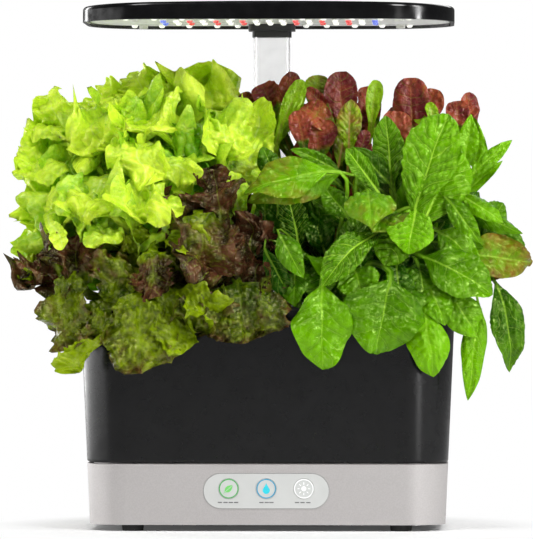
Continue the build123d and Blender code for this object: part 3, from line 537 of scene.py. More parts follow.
RIM = np.array(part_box("grow_deck")[1])[:2]
DECK_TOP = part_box("bowl")[1].z + 3 * MM
LAMP_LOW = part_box("lamp_shell")[0].z
CROWN = DECK_TOP + 1.5 * MM
STALK_SHARE = 5
STALK_WIDE = 7 * MM
FULL_RELIEF, FULL_RIB = 46 * MM, 40 * MM
MARKS = ("along", "phase", "side", "tone", "pigment", "pale", "under")
GOLDEN_ANGLE = 137.5


def smooth(value):
    value = np.clip(value, 0, 1)
    return value * value * (3 - 2 * value)


def bezier(points, share):
    """Places and directions along a cubic curve."""
    a, b, c, d = (np.asarray(p, float) for p in points)
    t = share[:, None]
    u = 1 - t
    place = u**3 * a + 3 * u**2 * t * b + 3 * u * t**2 * c + t**3 * d
    along = 3 * u**2 * (b - a) + 6 * u * t * (c - b) + 3 * t**2 * (d - c)
    return place, along / np.linalg.norm(along, axis=1)[:, None]


def waves(rng, size, count=7):
    """A smooth random field, made of waves of about one length in all directions."""
    turns = rng.uniform(0, 2 * math.pi, count)
    pace = 2 * math.pi / (size * rng.uniform(0.7, 1.45, count))
    shifts = rng.uniform(0, 2 * math.pi, count)
    strength = math.sqrt(2 / count)

    def field(x, y):
        return strength * sum(np.sin(step * (np.cos(turn) * x + np.sin(turn) * y) + shift)
                              for turn, step, shift in zip(turns, pace, shifts))

    return field


# How each kind of blade looks: lengths in mm, twist in degrees, the rest shares, powers and counts
FRILLY = dict(
    widest=0.6, stalk=0.5, swell=0.7, blunt=2.4, point=0.5, fold=0.06, cup=0.0, ruffle=12.0, ruffle_size=31,
    frill=4.4, frill_size=8.0, lobe=0.05, lobe_size=13, tooth=0.02, tooth_size=4, blister=1.2, blister_size=9,
    quilt=0.0, reach=17, rib=2.0, rib_width=2.4, veins=6, slope=0.9, twist=24, roll=0.45, flush=0.12,
    pale=0.28, rows=48, columns=40)
BRONZE = dict(
    FRILLY, twist=34, roll=0.6, ruffle=9.0, ruffle_size=22, frill=3.8, frill_size=6.5, lobe=0.09, tooth=0.08,
    blister=1.5, blister_size=7, reach=13, pale=0.12)
SHEET = dict(
    BRONZE, widest=0.62, cup=-0.1, ruffle=4.5, frill=2.6, quilt=1.6, blister=2.2, blister_size=6, lobe=0.05,
    tooth=0.03, twist=8, roll=0.2)
SPOON = dict(
    FRILLY, stalk=0.35, fold=0.14, cup=0.12, ruffle=1.6, ruffle_size=22, frill=0.3, lobe=0.015, tooth=0.01,
    blister=0.8, blister_size=6, quilt=0.7, reach=10, rib=1.6, rib_width=2.0, twist=15, roll=0.15, flush=0.6,
    pale=0.16, rows=36, columns=24)
BLADE = dict(
    FRILLY, widest=0.42, stalk=0.09, swell=0.55, blunt=1.8, point=0.85, fold=0.2, cup=-0.3, ruffle=3.2,
    ruffle_size=30, frill=0.3, frill_size=9, lobe=0.012, lobe_size=14, tooth=0.0, blister=0.9, blister_size=8,
    quilt=1.1, reach=14, rib=1.8, rib_width=1.8, veins=6.5, slope=1.3, twist=20, roll=0.35, flush=0.3,
    pale=0.2, rows=44, columns=28)
QUILTED = dict(
    BLADE, widest=0.56, blunt=2.2, cup=-0.1, quilt=3.2, blister=1.2, veins=9, slope=1.8, ruffle=2.4,
    tooth=0.02, tooth_size=6, twist=12, roll=0.2, pale=0.75, rows=60, columns=32)


def smallest(a, b):
    """The smaller of two distances, rounded off where they are alike."""
    return 1 / (1 / (a + MM) + 1 / (b + MM))


def unit(vector):
    """A direction, or a row of them, with length 1."""
    return vector / np.linalg.norm(vector, axis=-1, keepdims=True)


def out_of_the_way(points, side):
    """Moves leaf points off the post, the deck, the bowl's wall, the lid's sweep and the lamp."""
    post_half, post_front, squeeze = 19 * MM, 44 * MM, 0.2
    lid_half, lid_front, lid_back, lid_sweep = 16 * MM, -71 * MM, -34 * MM, 25 * MM
    soft_x, soft_y, corner, room = 8 * MM, 6 * MM, 30 * MM, 2.4 * MM
    over_deck, under_lamp = 2.2 * MM, 14 * MM
    x, y, z = points[..., 0], points[..., 1], points[..., 2]
    short = post_half - side * x
    x[:] = np.where((short > 0) & (y > post_front), side * (post_half + squeeze * short), x)
    over_lid = smooth(1 - (np.abs(x) - lid_half) / soft_x)
    over_lid = over_lid * smooth((y - lid_front) / soft_y) * smooth((lid_back - y) / soft_y)
    ground = DECK_TOP + over_deck + lid_sweep * over_lid
    beyond = np.abs(points[..., :2]) - (RIM - corner)
    reach = np.linalg.norm(np.maximum(beyond, 0), axis=-1)
    outside = reach + np.minimum(beyond.max(-1), 0) - corner
    low = (z < ground) & (outside < room)
    sideways = low & (room - outside < ground - z) & (beyond.max(-1) > 0)
    grow = np.where(sideways, (room - outside) / np.maximum(reach, MM), 0)[..., None]
    points[..., :2] += np.sign(points[..., :2]) * np.maximum(beyond, 0) * grow
    z[:] = np.where(low & ~sideways, ground, z)
    z[:] = np.minimum(z, LAMP_LOW - under_lamp)


class Foliage:
    """Gathers the leaves of one plant into one closed-leaf mesh with its patterns as attributes."""

    def __init__(self, seed):
        self.rng = np.random.default_rng(seed)
        self.count = 0
        self.points, self.faces, self.cells, self.marks, self.margins = [], [], [], [], []

    def leaf(self, look, root, base, tip, width, bow, face, tone, tint):
        """One leaf: a stalk from root to base, and a blade from base to tip that bows towards its face.

        face is the azimuth that the blade's upper side turns to, 0 for the front.
        """
        rng, rows, columns = self.rng, look["rows"], look["columns"]
        turn = math.radians(face)
        want = np.array((math.sin(turn), -math.cos(turn), 0.35))
        chord = tip - base
        arch = unit(want - chord * (want @ chord) / (chord @ chord)) * bow * 4 / 3
        rise = np.linalg.norm(base - root)
        start = unit(chord / 3 + arch)
        stalk_rows = rows // STALK_SHARE
        stalk, stalk_along = bezier((root, root + UP * 0.5 * rise, base - start * 0.35 * rise, base),
                                    np.linspace(0, 1, stalk_rows + 1)[:-1])
        blade = 1 - (1 - np.linspace(0, 1, rows - stalk_rows + 1)) ** 1.25
        leaf, leaf_along = bezier((base, base + chord / 3 + arch, tip - chord / 3 + arch, tip), blade)
        spine, along = np.concatenate((stalk, leaf)), np.concatenate((stalk_along, leaf_along))
        share = np.concatenate((np.zeros(stalk_rows), blade))
        way = np.concatenate(((0,), np.cumsum(np.linalg.norm(np.diff(spine, axis=0), axis=1))))
        length = way[-1] - way[stalk_rows]
        normal = unit(want - along * (along @ want)[:, None])
        side = np.cross(along, normal)
        twist = math.radians(rng.uniform(-look["twist"], look["twist"])) * share[:, None] ** 1.5
        normal, side = (normal * np.cos(twist) - side * np.sin(twist),
                        side * np.cos(twist) + normal * np.sin(twist))
        cup = look["cup"] + rng.uniform(-look["roll"], look["roll"])

        widen = smooth(share / look["widest"]) ** look["swell"]
        fall = np.clip((share - look["widest"]) / (1 - look["widest"]), 0, 1)
        thin = min(look["stalk"], STALK_WIDE / width)
        outline = thin + (look["stalk"] - thin) * smooth(share / 0.06)
        outline += (1 - outline) * widen
        outline *= np.maximum(1 - fall ** look["blunt"], 0) ** look["point"]
        half = (outline * width / 2)[:, None]
        part = np.linspace(-1, 1, columns + 1)[None, :]
        down = way[:, None]
        lobes = waves(rng, look["lobe_size"] * MM)
        teeth = waves(rng, look["tooth_size"] * MM)
        margin = 1000 * MM * np.sign(part)
        jag = look["lobe"] * lobes(down, margin) + look["tooth"] * teeth(down, margin)
        x = part * half * (1 + np.abs(part) ** 3 * jag)
        to_margin = smallest((1 - np.abs(part)) * half, 0.9 * (1 - share)[:, None] * length)
        edge = np.exp(-to_margin / (look["reach"] * MM)) * smooth(share / 0.25)[:, None]

        big, fine = waves(rng, look["ruffle_size"] * MM), waves(rng, look["frill_size"] * MM)
        sway, lumps = waves(rng, look["ruffle_size"] * MM), waves(rng, look["blister_size"] * MM)
        scale = np.clip(width / FULL_RELIEF, 0.35, 1.2)
        lift = look["fold"] * (np.sqrt(x**2 + (3 * MM) ** 2) - 3 * MM) + cup * x**2 / (width / 2)
        ruffle = look["ruffle"] * MM * scale * edge**1.5
        lift += ruffle * big(x, down)
        lift += look["frill"] * MM * scale * edge**3 * fine(x, down)
        inner = smooth(np.abs(x) / (4 * MM)) * smooth(share / 0.2)[:, None]
        lift += look["blister"] * MM * inner * np.abs(lumps(x, down))
        bend = waves(rng, 18 * MM)
        phase = share[:, None] * look["veins"] - np.abs(part) * look["slope"] + 0.16 * bend(x, down)
        puff = np.abs(np.sin(math.pi * phase)) * (1 - np.abs(part) ** 4)
        lift += look["quilt"] * MM * min(1.0, scale * 1.3) * inner * puff
        shift = 0.3 * ruffle * sway(x, down)
        slide = 0.25 * ruffle * sway(down, x)

        def placed(height):
            return (spine[:, None] + side[:, None] * (x + shift)[..., None]
                    + normal[:, None] * height[..., None] + along[:, None] * slide[..., None])

        slim = np.clip(width / FULL_RIB, 0.4, 1.0)
        rib = np.exp(-((x / (look["rib_width"] * MM)) ** 2)) * (1 - share[:, None]) ** 1.2 * slim
        thick = 0.45 * MM + look["rib"] * MM * rib
        top, bottom = placed(lift + 0.25 * look["rib"] * MM * rib), placed(lift - thick)
        out_of_the_way(top, np.sign(root[0]))
        out_of_the_way(bottom, np.sign(root[0]))

        first = sum(len(p) for p in self.points)
        index = first + np.arange((rows + 1) * (columns + 1)).reshape(rows + 1, columns + 1)
        below = index.copy()
        inside = (rows - 1) * (columns - 1)
        below[1:-1, 1:-1] = index[-1, -1] + 1 + np.arange(inside).reshape(rows - 1, columns - 1)
        self.points += [top.reshape(-1, 3), bottom[1:-1, 1:-1].reshape(-1, 3)]

        def at_corners(grid, order):
            """A grid's values at the four corners of each face, in that order."""
            return np.stack([grid[i:rows + i, j:columns + j].ravel() for i, j in order], 1)

        corners = ((0, 0), (0, 1), (1, 1), (1, 0))
        u, v = np.meshgrid(np.arange(columns + 1) / columns, np.arange(rows + 1) / rows)
        for sheet, order, grid in ((0, corners, index), (1, corners[::-1], below)):
            self.faces.append(at_corners(grid, order))
            spots = np.stack((at_corners(u, order), at_corners(v, order)), -1)
            self.cells.append((2 * self.count + sheet, spots))
        pigment = tint * (look["flush"] + (1 - look["flush"]) * edge) * smooth(share[:, None] / 0.4)
        facts = np.broadcast_arrays(share[:, None], phase, np.abs(x), tone, pigment, look["pale"], 0)
        upper = np.stack([f.ravel() for f in facts], 1)
        lower = np.stack([f[1:-1, 1:-1].ravel() for f in facts], 1)
        lower[:, -1] = 1
        self.marks += [upper, lower]
        rim = np.ones(index.shape, bool)
        rim[1:-1, 1:-1] = False
        self.margins += [rim.ravel(), np.zeros(inside, bool)]
        self.count += 1

    def piece(self, name, node, material, slot):
        """The plant's mesh, riding on the deck in place of its CAD node."""
        points, faces = np.concatenate(self.points), np.concatenate(self.faces)
        mesh = bpy.data.meshes.new(name)
        mesh.from_pydata(points.tolist(), [], faces.tolist())
        mesh.polygons.foreach_set("use_smooth", np.ones(len(faces), bool))
        margin = np.concatenate(self.margins)
        ends = np.empty(2 * len(mesh.edges), np.int32)
        mesh.edges.foreach_get("vertices", ends)
        mesh.edges.foreach_set("use_edge_sharp", margin[ends.reshape(-1, 2)].all(1))
        marks = np.concatenate(self.marks)
        for column, mark in enumerate(MARKS):
            layer = mesh.attributes.new("leaf_" + mark, "FLOAT", "POINT")
            layer.data.foreach_set("value", marks[:, column].astype(np.float32))
        across = math.ceil(math.sqrt(2 * self.count))
        gap = 0.04
        spots = [(np.array((cell % across, cell // across)) + gap + (1 - 2 * gap) * uv) / across
                 for cell, uv in self.cells]
        layer = mesh.uv_layers.new(name="OFBake", do_init=False)
        layer.uv.foreach_set("vector", np.concatenate(spots).reshape(-1).astype(np.float32))
        piece = new_piece(name, mesh, material, "deck")
        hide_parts(node)


def leaf_finish(name, light, dark, rib, under, pigment, roughness, net, wrinkle, puff, clear, shine, blotch_and_shade,
                gloss):
    """A leaf: two greens, a pale midrib, side veins and a fine net, pigment, and light shining through, with
    painted shade and light: darker towards the base, by the veins, in the creases and where the tone is low,
    lighter on the puffs between the veins.
    """
    made = Finish(name, light, roughness, Specular_IOR_Level=shine, Specular_Tint=(*gloss, 1))
    along, phase, side, tone, stain, pale, below = [made.attribute("leaf_" + mark) for mark in MARKS]
    # Random blotches and the tone, with painted shade and light added to them below.
    mottle_and_shade = made.add(made.times(made.cloud(12 * MM, 4.0), blotch_and_shade), made.times(tone, 0.85))
    # Painted shade: darker towards the leaf's base, lighter towards its tip.
    mottle_and_shade = made.add(mottle_and_shade, made.spread(along, 0.2, 1.0, -0.1, 0.12))
    # Painted shade in the quilting's valleys by the veins and painted light on the puffs between them.
    between = made.maths("PINGPONG", phase, 0.5)
    mottle_and_shade = made.add(mottle_and_shade, made.spread(between, 0.02, 0.4, -0.04, 0.04))
    # Painted shade in the creases: the noise that bumps the creases also darkens their low parts.
    crease = made.noise(wrinkle, 3.0)
    mottle_and_shade = made.add(mottle_and_shade, made.spread(crease, 0.3, 0.7, -0.6 * blotch_and_shade, 0.6 * blotch_and_shade))
    blade = made.shade(made.spread(mottle_and_shade, 0.05, 1.1), dark, light)
    # Painted shade: leaves with a low tone, the ones behind others or deep in the plant, darken towards a
    # deep shade colour.
    deep_shade = [part * 0.12 for part in linear(dark)[:3]]
    blade = made.mix(made.spread(tone, -0.8, 0.1, 1.0, 0.0), blade, (*deep_shade, 1))
    vein = made.spread(between, 0.0, 0.07, 1.0, 0.0)
    vein = made.times(vein, made.spread(side, 0.0, 0.03, 1.0, 0.25))
    threads = made.spread(made.cells(net, "DISTANCE_TO_EDGE"), 0.0, 0.12, 1.0, 0.0)
    lines = made.maths("MAXIMUM", vein, made.times(threads, 0.2))
    blade = made.mix(made.times(lines, pale), blade, linear(rib))
    cloud = made.maths("SUBTRACT", made.noise(7 * MM, 4.0), 0.5)
    amount = made.add(stain, made.times(cloud, 0.9))
    amount = made.times(made.spread(amount, 0.22, 0.85), made.spread(stain, 0.02, 0.2))
    amount = made.times(amount, made.maths("SUBTRACT", 1.0, made.times(lines, 0.4)))
    hue = made.shade(made.spread(made.noise(16 * MM, 3.0), 0.35, 0.65), *pigment)
    blade = made.mix(amount, blade, hue)
    blade = made.mix(made.times(below, 0.3), blade, linear(under))
    narrow = made.times(made.maths("SUBTRACT", 1.1, along), MM)
    midrib = made.spread(made.maths("DIVIDE", side, narrow), 0.4, 1.2, 1.0, 0.0)
    midrib = made.times(midrib, made.spread(pale, 0.0, 0.6, 0.1, 0.9))
    blade = made.mix(midrib, blade, linear(rib))
    made.paint(blade)
    made.rough(made.cloud(5 * MM, 3.0, roughness - 0.06, roughness + 0.1))
    relief = made.add(made.times(threads, -0.8), made.noise(1.8 * MM))
    fine = made.bump(made.maths("SUBTRACT", relief, made.times(vein, 1.2)), 0.16 * MM)
    made.bump(crease, puff, fine)
    glow = made.node("HueSaturation", {"Saturation": 1.05, "Value": 1.25, "Color": blade}).outputs["Color"]
    through = made.node("BsdfTranslucent", {"Color": glow})
    surface = made.mix_shaders(clear, made.shader.outputs[0], through.outputs[0])
    made.feed(made.output.inputs["Surface"], surface)
    return made.material


lime_leaf = leaf_finish(
    "lime_leaf", light=(234, 255, 66), dark=(112, 190, 0), rib=(240, 255, 150), under=(214, 250, 90),
    pigment=((120, 110, 10), (150, 124, 30)), roughness=0.21, net=5.5 * MM, wrinkle=3.6 * MM, puff=1.4 * MM,
    clear=0.18, shine=0.8, blotch_and_shade=0.18, gloss=(1.0, 1.0, 0.75))
bronze_leaf = leaf_finish(
    "bronze_leaf", light=(156, 184, 12), dark=(42, 70, 0), rib=(150, 180, 34), under=(116, 146, 20),
    pigment=((36, 18, 12), (102, 58, 40)), roughness=0.17, net=5.0 * MM, wrinkle=4.0 * MM, puff=1.8 * MM,
    clear=0.1, shine=0.7, blotch_and_shade=0.26, gloss=(1.0, 0.9, 0.5))
red_leaf = leaf_finish(
    "red_leaf", light=(150, 200, 10), dark=(50, 92, 0), rib=(186, 150, 70), under=(138, 90, 44),
    pigment=((114, 28, 34), (176, 78, 50)), roughness=0.17, net=4.5 * MM, wrinkle=5 * MM, puff=1.4 * MM,
    clear=0.12, shine=0.6, blotch_and_shade=0.3, gloss=(1.0, 0.75, 0.7))
green_leaf = leaf_finish(
    "green_leaf", light=(112, 178, 0), dark=(10, 64, 0), rib=(170, 218, 60), under=(92, 160, 0),
    pigment=((128, 84, 24), (110, 72, 36)), roughness=0.13, net=3.6 * MM, wrinkle=7 * MM, puff=1.1 * MM,
    clear=0.05, shine=0.65, blotch_and_shade=0.12, gloss=(0.75, 1.0, 0.25))

pods = {number: node_middle(f"basket_{number}") for number in range(1, 7)}


def at(share_x, share_y, share_z):
    """A place in shares of the rim and of the growing room over the deck."""
    return np.array((share_x * RIM[0], share_y * RIM[1], DECK_TOP + share_z * (LAMP_LOW - DECK_TOP)))


def placed_leaf(foliage, pod, look, row):
    """A leaf from its row and, where it doesn't hang, a coarser one that lies behind it, with painted shade:
    darker through a lower tone, the more so the lower the row's tip.
    """
    shares, (width, bow, face, tone, tint, quilted) = np.array(row[:6]) / 100, (*row[6:], 0, 0)[:6]
    width, bow, tone, tint = width * MM, bow * MM, tone / 100, tint / 100
    base, tip = at(*shares[:3]), at(*shares[3:])
    away = base[:2] - pod
    root = np.array((*pod, CROWN))
    root[:2] += away / max(np.linalg.norm(away), MM) * 5 * MM
    if quilted:
        look = SHEET if look is BRONZE else QUILTED
    foliage.leaf(look, root, base, tip, width, bow, face, tone, tint)
    if tip[2] > DECK_TOP + 15 * MM:
        rng = foliage.rng
        slip = (rng.normal(0, 7, (2, 3)) + (0, 13, -9)) * MM
        coarse = dict(look, rows=look["rows"] * 2 // 3, columns=look["columns"] * 2 // 3)
        # Painted shade: the leaf behind gets a lower tone, the more so the lower the tip lies.
        foliage.leaf(coarse, root, base + slip[0], tip + slip[1], width * 0.95, bow,
                     face + rng.uniform(-30, 30), tone - 0.4 * smooth(1.3 - 2 * shares[5]), tint)


def rosette(foliage, pod, look, count, start, span, reach, height, width, tone, tint=0):
    """Leaves in a spiral round the crown, from short upright ones within to long arching ones outside."""
    rng = foliage.rng
    for step in range(count):
        age = step / max(1, count - 1)
        azimuth = start + (step * GOLDEN_ANGLE) % span
        turn = math.radians(azimuth)
        heading = np.array((math.sin(turn), -math.cos(turn), 0))
        far, high, wide = [(least + (most - least) * age) * rng.uniform(1 - loose, 1 + loose) * MM
                           for (least, most), loose in ((reach, 0.15), (height, 0.1), (width, 0.15))]
        root = np.array((*pod, CROWN)) + heading * 3 * MM
        base = root + heading * 0.25 * far + UP * (0.3 * high + 8 * MM)
        tip = root + heading * far + UP * high
        foliage.leaf(look, root, base, tip, wide, (4 + 10 * age) * MM, azimuth,
                     tone + rng.uniform(-0.25, 0.25), tint * rng.uniform(0.6, 1.3))


# One row for each leaf that the photo shows: where the blade starts and where its tip is, both across, back
# and up, in hundredths of the rim and of the growing room; the blade's width and its bow, in mm; the way it
# faces, in degrees; its tone, where low values also paint shade on leaves that lie in shade, and its pigment,
# in hundredths; and 1 for a calm, quilted leaf. Zeros at the end of a row are left out.
LIME_BACK = (
    (-65, 13, 63, -72, 16, 86, 38, 3, 0, 100), (-35, 20, 64, -30, 18, 82, 54, 4, 10, 100),
    (-53, 0, 67, -56, -5, 81, 51, 6, 0, 100), (-29, -16, 69, -23, -53, 51, 42, 9, 20, 80),
    (-54, -18, 73, -64, -58, 58, 52, 9, -10, 90), (-39, -26, 63, -38, -58, 51, 36, 6, 10, 50),
    (-10, -29, 52, -3, -18, 73, 21, 3, 10, 90), (-14, -76, 31, -17, -69, 47, 15, 2, 0, 55),
    (-44, -47, 45, -49, -40, 63, 49, 4, 0, 25), (-25, -40, 48, -20, -11, 66, 41, 4, 15, 70),
    (-63, -58, 44, -64, -26, 66, 57, 4, 0, 40), (-4, -8, 59, -13, 3, 69, 18, 3, 0, 90),
)
LIME_END = (
    (-85, 0, 64, -98, 11, 77, 36, 4, -10, 100), (-99, -5, 62, -131, -8, 65, 36, 4, -20, 90),
    (-100, -18, 52, -136, -21, 50, 41, 5, -20, 85), (-100, -40, 33, -133, -34, 30, 49, 5, -25, 95),
    (-87, -18, 71, -87, -61, 51, 54, 9, -5, 95), (-69, -61, 58, -67, -90, 42, 42, 7, 5, 95),
    (-63, -79, 43, -63, -105, 27, 45, 6, 5, 90), (-87, -63, 45, -97, -97, 29, 50, 7, -10, 90),
    (-105, -45, 41, -110, -82, 25, 40, 6, -25, 90), (-57, -71, 50, -36, -79, 44, 23, 3, 5, 85),
    (-115, -97, 29, -106, -112, 20, 12, 2, -10, 95), (-90, -87, 29, -83, -103, 20, 27, 3, 0, 70),
    (-112, -5, 59, -113, 3, 74, 25, 3, -20, 100), (-107, -53, 20, -115, -40, 44, 41, 5, -30, 60),
    (-99, -26, 35, -105, -18, 57, 39, 4, -10, 45), (-79, -66, 27, -77, -53, 48, 57, 5, 0, 35),
)
BRONZE_FRONT = (
    (-66, -113, 5, -66, -119, -23, 55, 5, 0, 60, 71, 1), (-53, -116, 6, -43, -119, -16, 28, 3, 0, 60, 10),
    (-45, -111, 5, -24, -124, -6, 25, 7, 0, 75, 5), (-15, -105, 8, -10, -116, -12, 70, 5, 0, 25, 71, 1),
    (-32, -105, 6, -32, -111, -8, 39, 4, 0, 30, 60), (-104, -90, 11, -103, -92, -15, 37, 5, -20, 50, 71),
    (-90, -113, -13, -108, -111, -23, 18, 3, -10, 100), (-107, -79, 15, -126, -74, 15, 35, 4, -20, 40, 117),
    (-121, -63, 13, -133, -61, 15, 13, 2, -20, 100), (-98, -87, 7, -102, -82, 24, 34, 4, -10, 30, 129),
    (-79, -100, 1, -79, -95, 19, 38, 4, 0, 40, 71), (-60, -108, 19, -59, -121, 2, 28, 5, 5, 60, 117),
    (-52, -92, 24, -32, -108, 20, 24, 8, 0, 90, 37), (-36, -92, 32, -31, -113, 10, 44, 7, 0, 50, 117),
    (-24, -82, 27, -28, -76, 49, 31, 4, 0, 30, 140), (-8, -84, 17, -9, -79, 32, 34, 4, 0, -45, 117),
    (-6, -87, 2, -5, -82, 22, 47, 4, 0, -80, 94), (-46, -79, 20, -48, -74, 39, 34, 4, 0, 40, 106),
    (-86, -95, 2, -90, -111, -13, 31, 4, -5, 40, 60), (-67, -84, 20, -74, -87, 26, 28, 3, 0, 80, 48),
)
RED_BACK = (
    (39, 11, 62, 38, 13, 83, 25, 3, 0, 30, 130), (77, 16, 59, 76, 18, 81, 27, 3, 0, 30, 130),
    (5, 24, 69, 13, 29, 83, 15, 2, 5, 50, 120), (2, 29, 69, -5, 34, 79, 22, 2, 0, 30, 130),
    (101, 24, 62, 101, 29, 73, 17, 2, 10, 30, 120), (104, 34, 65, 112, 40, 71, 9, 1, 10, 30, 120),
    (35, -5, 62, 18, -3, 71, 20, 2, 0, 100, 90), (43, -21, 54, 44, -16, 73, 18, 2, 0, 70, 55, 1),
    (55, 0, 64, 58, 5, 80, 12, 2, -5, 100), (25, 16, 69, 26, 18, 82, 19, 2, 0, 80, 50),
    (32, 3, 69, 20, 5, 77, 10, 1, 0, 40, 120), (19, -18, 56, 15, -16, 69, 16, 2, 0, 20, 130),
    (49, -24, 54, 53, -24, 62, 9, 1, 0, 20, 130), (57, 18, 64, 51, 21, 78, 17, 2, 0, 30, 130),
    (83, 21, 63, 89, 26, 77, 20, 2, 5, 30, 130), (90, -3, 64, 86, 0, 72, 9, 1, 0, 100),
    (27, -11, 53, 25, -8, 66, 30, 2, 0, 30, 110), (-10, 32, 68, -15, 37, 76, 11, 1, 0, 50, 120),
    (6, -5, 63, 18, 0, 80, 14, 2, 5, 100), (69, -5, 55, 68, 0, 69, 22, 2, 0, 30, 90),
    (44, 18, 59, 44, 21, 72, 26, 2, 0, 30, 120),
)
GREEN_END = (
    (78, -82, 32, 96, -71, 68, 41, 3, -6, 80, 0, 1), (107, -8, 45, 131, -3, 59, 12, 2, 10, 90),
    (104, 5, 47, 109, 13, 68, 18, 2, 10, 100), (108, -29, 32, 138, -24, 17, 26, 4, 20, 30),
    (103, -58, 18, 141, -34, 15, 33, 4, 15, 90, 75), (95, -79, 38, 113, -87, 22, 16, 3, 5, 55),
    (102, -66, 39, 126, -69, 29, 15, 3, 5, 80), (122, -47, 8, 130, -45, -24, 25, 8, 20, 35),
    (112, -79, 2, 107, -82, -33, 18, 4, 10, 85), (97, -87, 4, 112, -84, -11, 28, 4, 10, 75),
    (84, -97, 17, 121, -97, 4, 37, 5, 5, 55), (98, -53, 36, 104, -45, 53, 16, 2, 10, 35),
    (91, -69, 26, 112, -74, 15, 24, 3, 10, 70, 15), (66, -45, 42, 63, -37, 67, 23, 2, 0, 50, 0, 1),
    (87, -53, 30, 108, -40, 41, 28, 3, 10, 30), (108, -26, 20, 127, -8, 37, 26, 3, 20, 40),
    (92, -66, 2, 108, -53, 20, 36, 3, 10, 25), (80, -79, 15, 85, -105, 0, 34, 4, 5, 45),
    (96, -74, 15, 98, -100, 1, 30, 4, 10, 35), (86, -95, 7, 94, -111, -7, 24, 5, 5, 60),
    (73, -103, 6, 77, -116, -5, 24, 5, 5, 40),
)
GREEN_FRONT = (
    (79, -90, 33, 75, -119, 18, 34, 5, 0, 95, 0, 1), (32, -95, 47, -12, -87, 40, 31, 5, 0, 95, 58),
    (40, -61, 46, 12, -55, 55, 12, 6, 0, 50), (54, -97, 40, 56, -121, 27, 37, 6, 0, 80, 50),
    (7, -105, 25, 20, -121, 10, 18, 4, -10, 50), (61, -87, 26, 30, -124, 7, 25, 10, -15, 45, 0, 1),
    (30, -116, 7, 30, -123, -22, 43, 5, 0, 80), (66, -116, 9, 58, -121, -17, 59, 6, 0, 55),
    (84, -113, -3, 89, -113, -25, 31, 4, 0, 110), (17, -66, 20, 11, -63, 40, 21, 2, 0, 15, 0, 1),
    (31, -66, 18, 23, -61, 36, 21, 2, 0, 15), (43, -74, 31, 29, -71, 42, 20, 3, 0, 45),
    (60, -74, 39, 42, -66, 55, 16, 3, 0, 55, 0, 1), (65, -53, 43, 45, -45, 56, 20, 2, 0, 25),
    (4, -53, 45, -3, -45, 56, 17, 2, 0, 30), (50, -82, 13, 45, -74, 32, 31, 3, 0, 20),
    (71, -79, 15, 62, -71, 34, 35, 3, 0, 20), (46, -105, 13, 53, -113, 2, 31, 5, 0, 60),
    (18, -92, 4, 16, -84, 20, 28, 3, 0, 15), (16, -92, 14, 15, -111, 0, 24, 4, -8, 35),
    (30, -92, 15, 27, -111, 1, 27, 4, 0, 30), (44, -87, 15, 46, -108, 1, 28, 4, 0, 20),
    (40, -97, 8, 42, -105, -5, 23, 5, 0, 35), (9, -40, 15, 4, -29, 38, 24, 3, 0, 10),
    (15, -53, 15, 12, -42, 33, 21, 3, 0, 0), (0, -32, 15, -3, -21, 42, 27, 3, 0, 10),
    (69, -87, 15, 71, -108, 0, 31, 4, 0, 20),
)

plants = (
    ("lime_lettuce_back", 1, FRILLY, LIME_BACK, lime_leaf, "lime_leaf",
     dict(count=13, start=120, span=190, reach=(14, 58), height=(125, 60), width=(36, 54), tone=0.8)),
    ("lime_lettuce_end", 2, FRILLY, LIME_END, lime_leaf, "lime_leaf",
     dict(count=9, start=150, span=180, reach=(16, 52), height=(100, 40), width=(34, 54), tone=0.75)),
    ("bronze_lettuce", 3, BRONZE, BRONZE_FRONT, bronze_leaf, "bronze_leaf",
     dict(count=5, start=-80, span=170, reach=(14, 40), height=(70, 14), width=(30, 44), tone=0.3, tint=0.9)),
    ("red_romaine", 4, SPOON, RED_BACK, red_leaf, "red_leaf",
     dict(count=14, start=40, span=200, reach=(14, 54), height=(130, 60), width=(26, 36), tone=0.4,
          tint=1.1)),
    ("green_leaves_end", 5, BLADE, GREEN_END, green_leaf, "green_leaf",
     dict(count=12, start=20, span=240, reach=(14, 50), height=(95, 30), width=(28, 44), tone=0.45)),
    ("green_leaves_front", 6, BLADE, GREEN_FRONT, green_leaf, "green_leaf",
     dict(count=8, start=-60, span=300, reach=(12, 46), height=(80, 20), width=(28, 42), tone=0.2)),
)
for name, number, look, rows, material, slot, fill in plants:
    foliage = Foliage(40 + number)
    for row in rows:
        placed_leaf(foliage, pods[number], look, row)
    coarse = dict(look, rows=look["rows"] * 3 // 4, columns=look["columns"] * 3 // 4)
    rosette(foliage, pods[number], coarse, **fill)
    foliage.piece(name, f"plant_{number}", material, slot)


# ---- floor, light and camera

FLOOR_HALF = 6.0
WHITE_FROM, WHITE_TO = 0.13, 0.22
NEAR_GLOW = 0.06
ROOM_LIGHT = 0.1
GARDEN_MIDDLE = Vector((0, 0, 0.18))

paper = Finish("floor_paper", (253, 253, 253), 0.9)
paper.paint(paper.shade(paper.noise(50 * MM, 3.0), (252, 252, 252), (254, 254, 254)))
paper.bump(paper.noise(0.8 * MM), 0.01 * MM)
apart = paper.node("VectorMath", {0: paper.place}, operation="LENGTH").outputs["Value"]
lit = paper.shader.outputs[0]
glow = paper.node("Emission", {"Color": WHITE, "Strength": NEAR_GLOW})
near = paper.node("AddShader", {0: lit, 1: glow.outputs[0]})
far = paper.node("Emission", {"Color": WHITE, "Strength": 1.0})
in_view = paper.mix_shaders(paper.spread(apart, WHITE_FROM, WHITE_TO), near.outputs[0], far.outputs[0])
seen = paper.node("LightPath").outputs["Is Camera Ray"]
paper.feed(paper.output.inputs["Surface"], paper.mix_shaders(seen, lit, in_view))
floor_mesh = bpy.data.meshes.new("floor")
square = [(x * FLOOR_HALF, y * FLOOR_HALF, 0) for x, y in ((-1, -1), (1, -1), (1, 1), (-1, 1))]
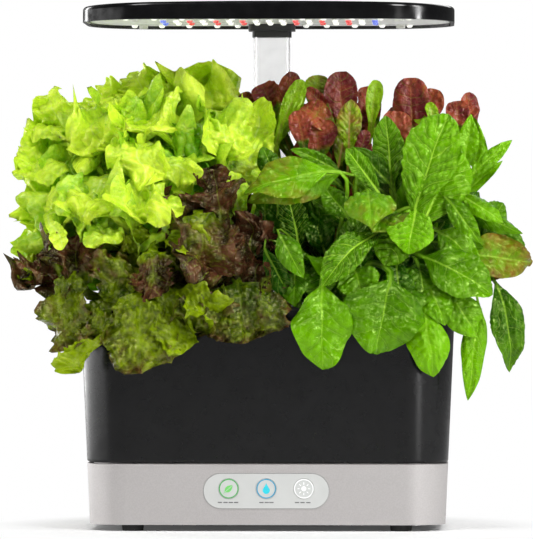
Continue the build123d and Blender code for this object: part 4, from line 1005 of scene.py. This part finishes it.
floor_mesh.from_pydata(square, [], [(0, 1, 2, 3)])
floor_mesh.materials.append(paper.material)
new_object("floor", floor_mesh)

world = bpy.data.worlds.new("studio")
scene.world = world
world.use_nodes = True
studio = Nodes(world.node_tree)
room = studio.tree.nodes["Background"]
studio.feed(room.inputs["Color"], WHITE)
studio.feed(room.inputs["Strength"], ROOM_LIGHT)
backdrop = studio.node("Background", {"Color": WHITE, "Strength": 1.0})
path = studio.node("LightPath")
direct = studio.maths("MAXIMUM", path.outputs["Is Camera Ray"], path.outputs["Is Transmission Ray"])
choice = studio.mix_shaders(direct, room.outputs[0], backdrop.outputs[0])
studio.feed(studio.tree.nodes["World Output"].inputs["Surface"], choice)


def lamp(name, azimuth, height, distance, size, power):
    """A soft rectangular lamp that looks at the garden's middle."""
    data = bpy.data.lights.new(name, "AREA")
    data.shape = "RECTANGLE"
    data.size, data.size_y = size
    data.energy = power
    holder = new_object(name, data)
    turn = math.radians(azimuth)
    holder.location = (distance * math.sin(turn), -distance * math.cos(turn), height)
    aim = GARDEN_MIDDLE - holder.location
    holder.rotation_euler = aim.to_track_quat("-Z", "Y").to_euler()


lamp("soft_left", -104, 0.2, 1.6, (3.6, 0.4), 22)
lamp("soft_left_high", -137, 0.7, 1.7, (0.3, 0.7), 4.5)
lamp("soft_right", 33, 0.15, 1.5, (0.2, 0.35), 3.2)
lamp("soft_right_high", 64, 0.7, 1.3, (0.14, 0.7), 9)
lamp("soft_key", 36, 1.3, 1.6, (0.5, 0.5), 13)
lamp("soft_top", -36, 1.7, 1.2, (0.7, 0.9), 15)
lamp("soft_back", 165, 1.3, 1.7, (1.2, 0.8), 9)

CAMERA = (0.118, -3.676, 0.18495)
PAN = math.radians(1.872)
camera_data = bpy.data.cameras.new("camera")
camera_data.lens = 341.4
camera_data.clip_end = 30
camera = new_object("camera", camera_data)
camera.location = CAMERA
camera.rotation_euler = (math.pi / 2, 0, PAN)
scene.camera = camera
scene.view_settings.view_transform = "Standard"
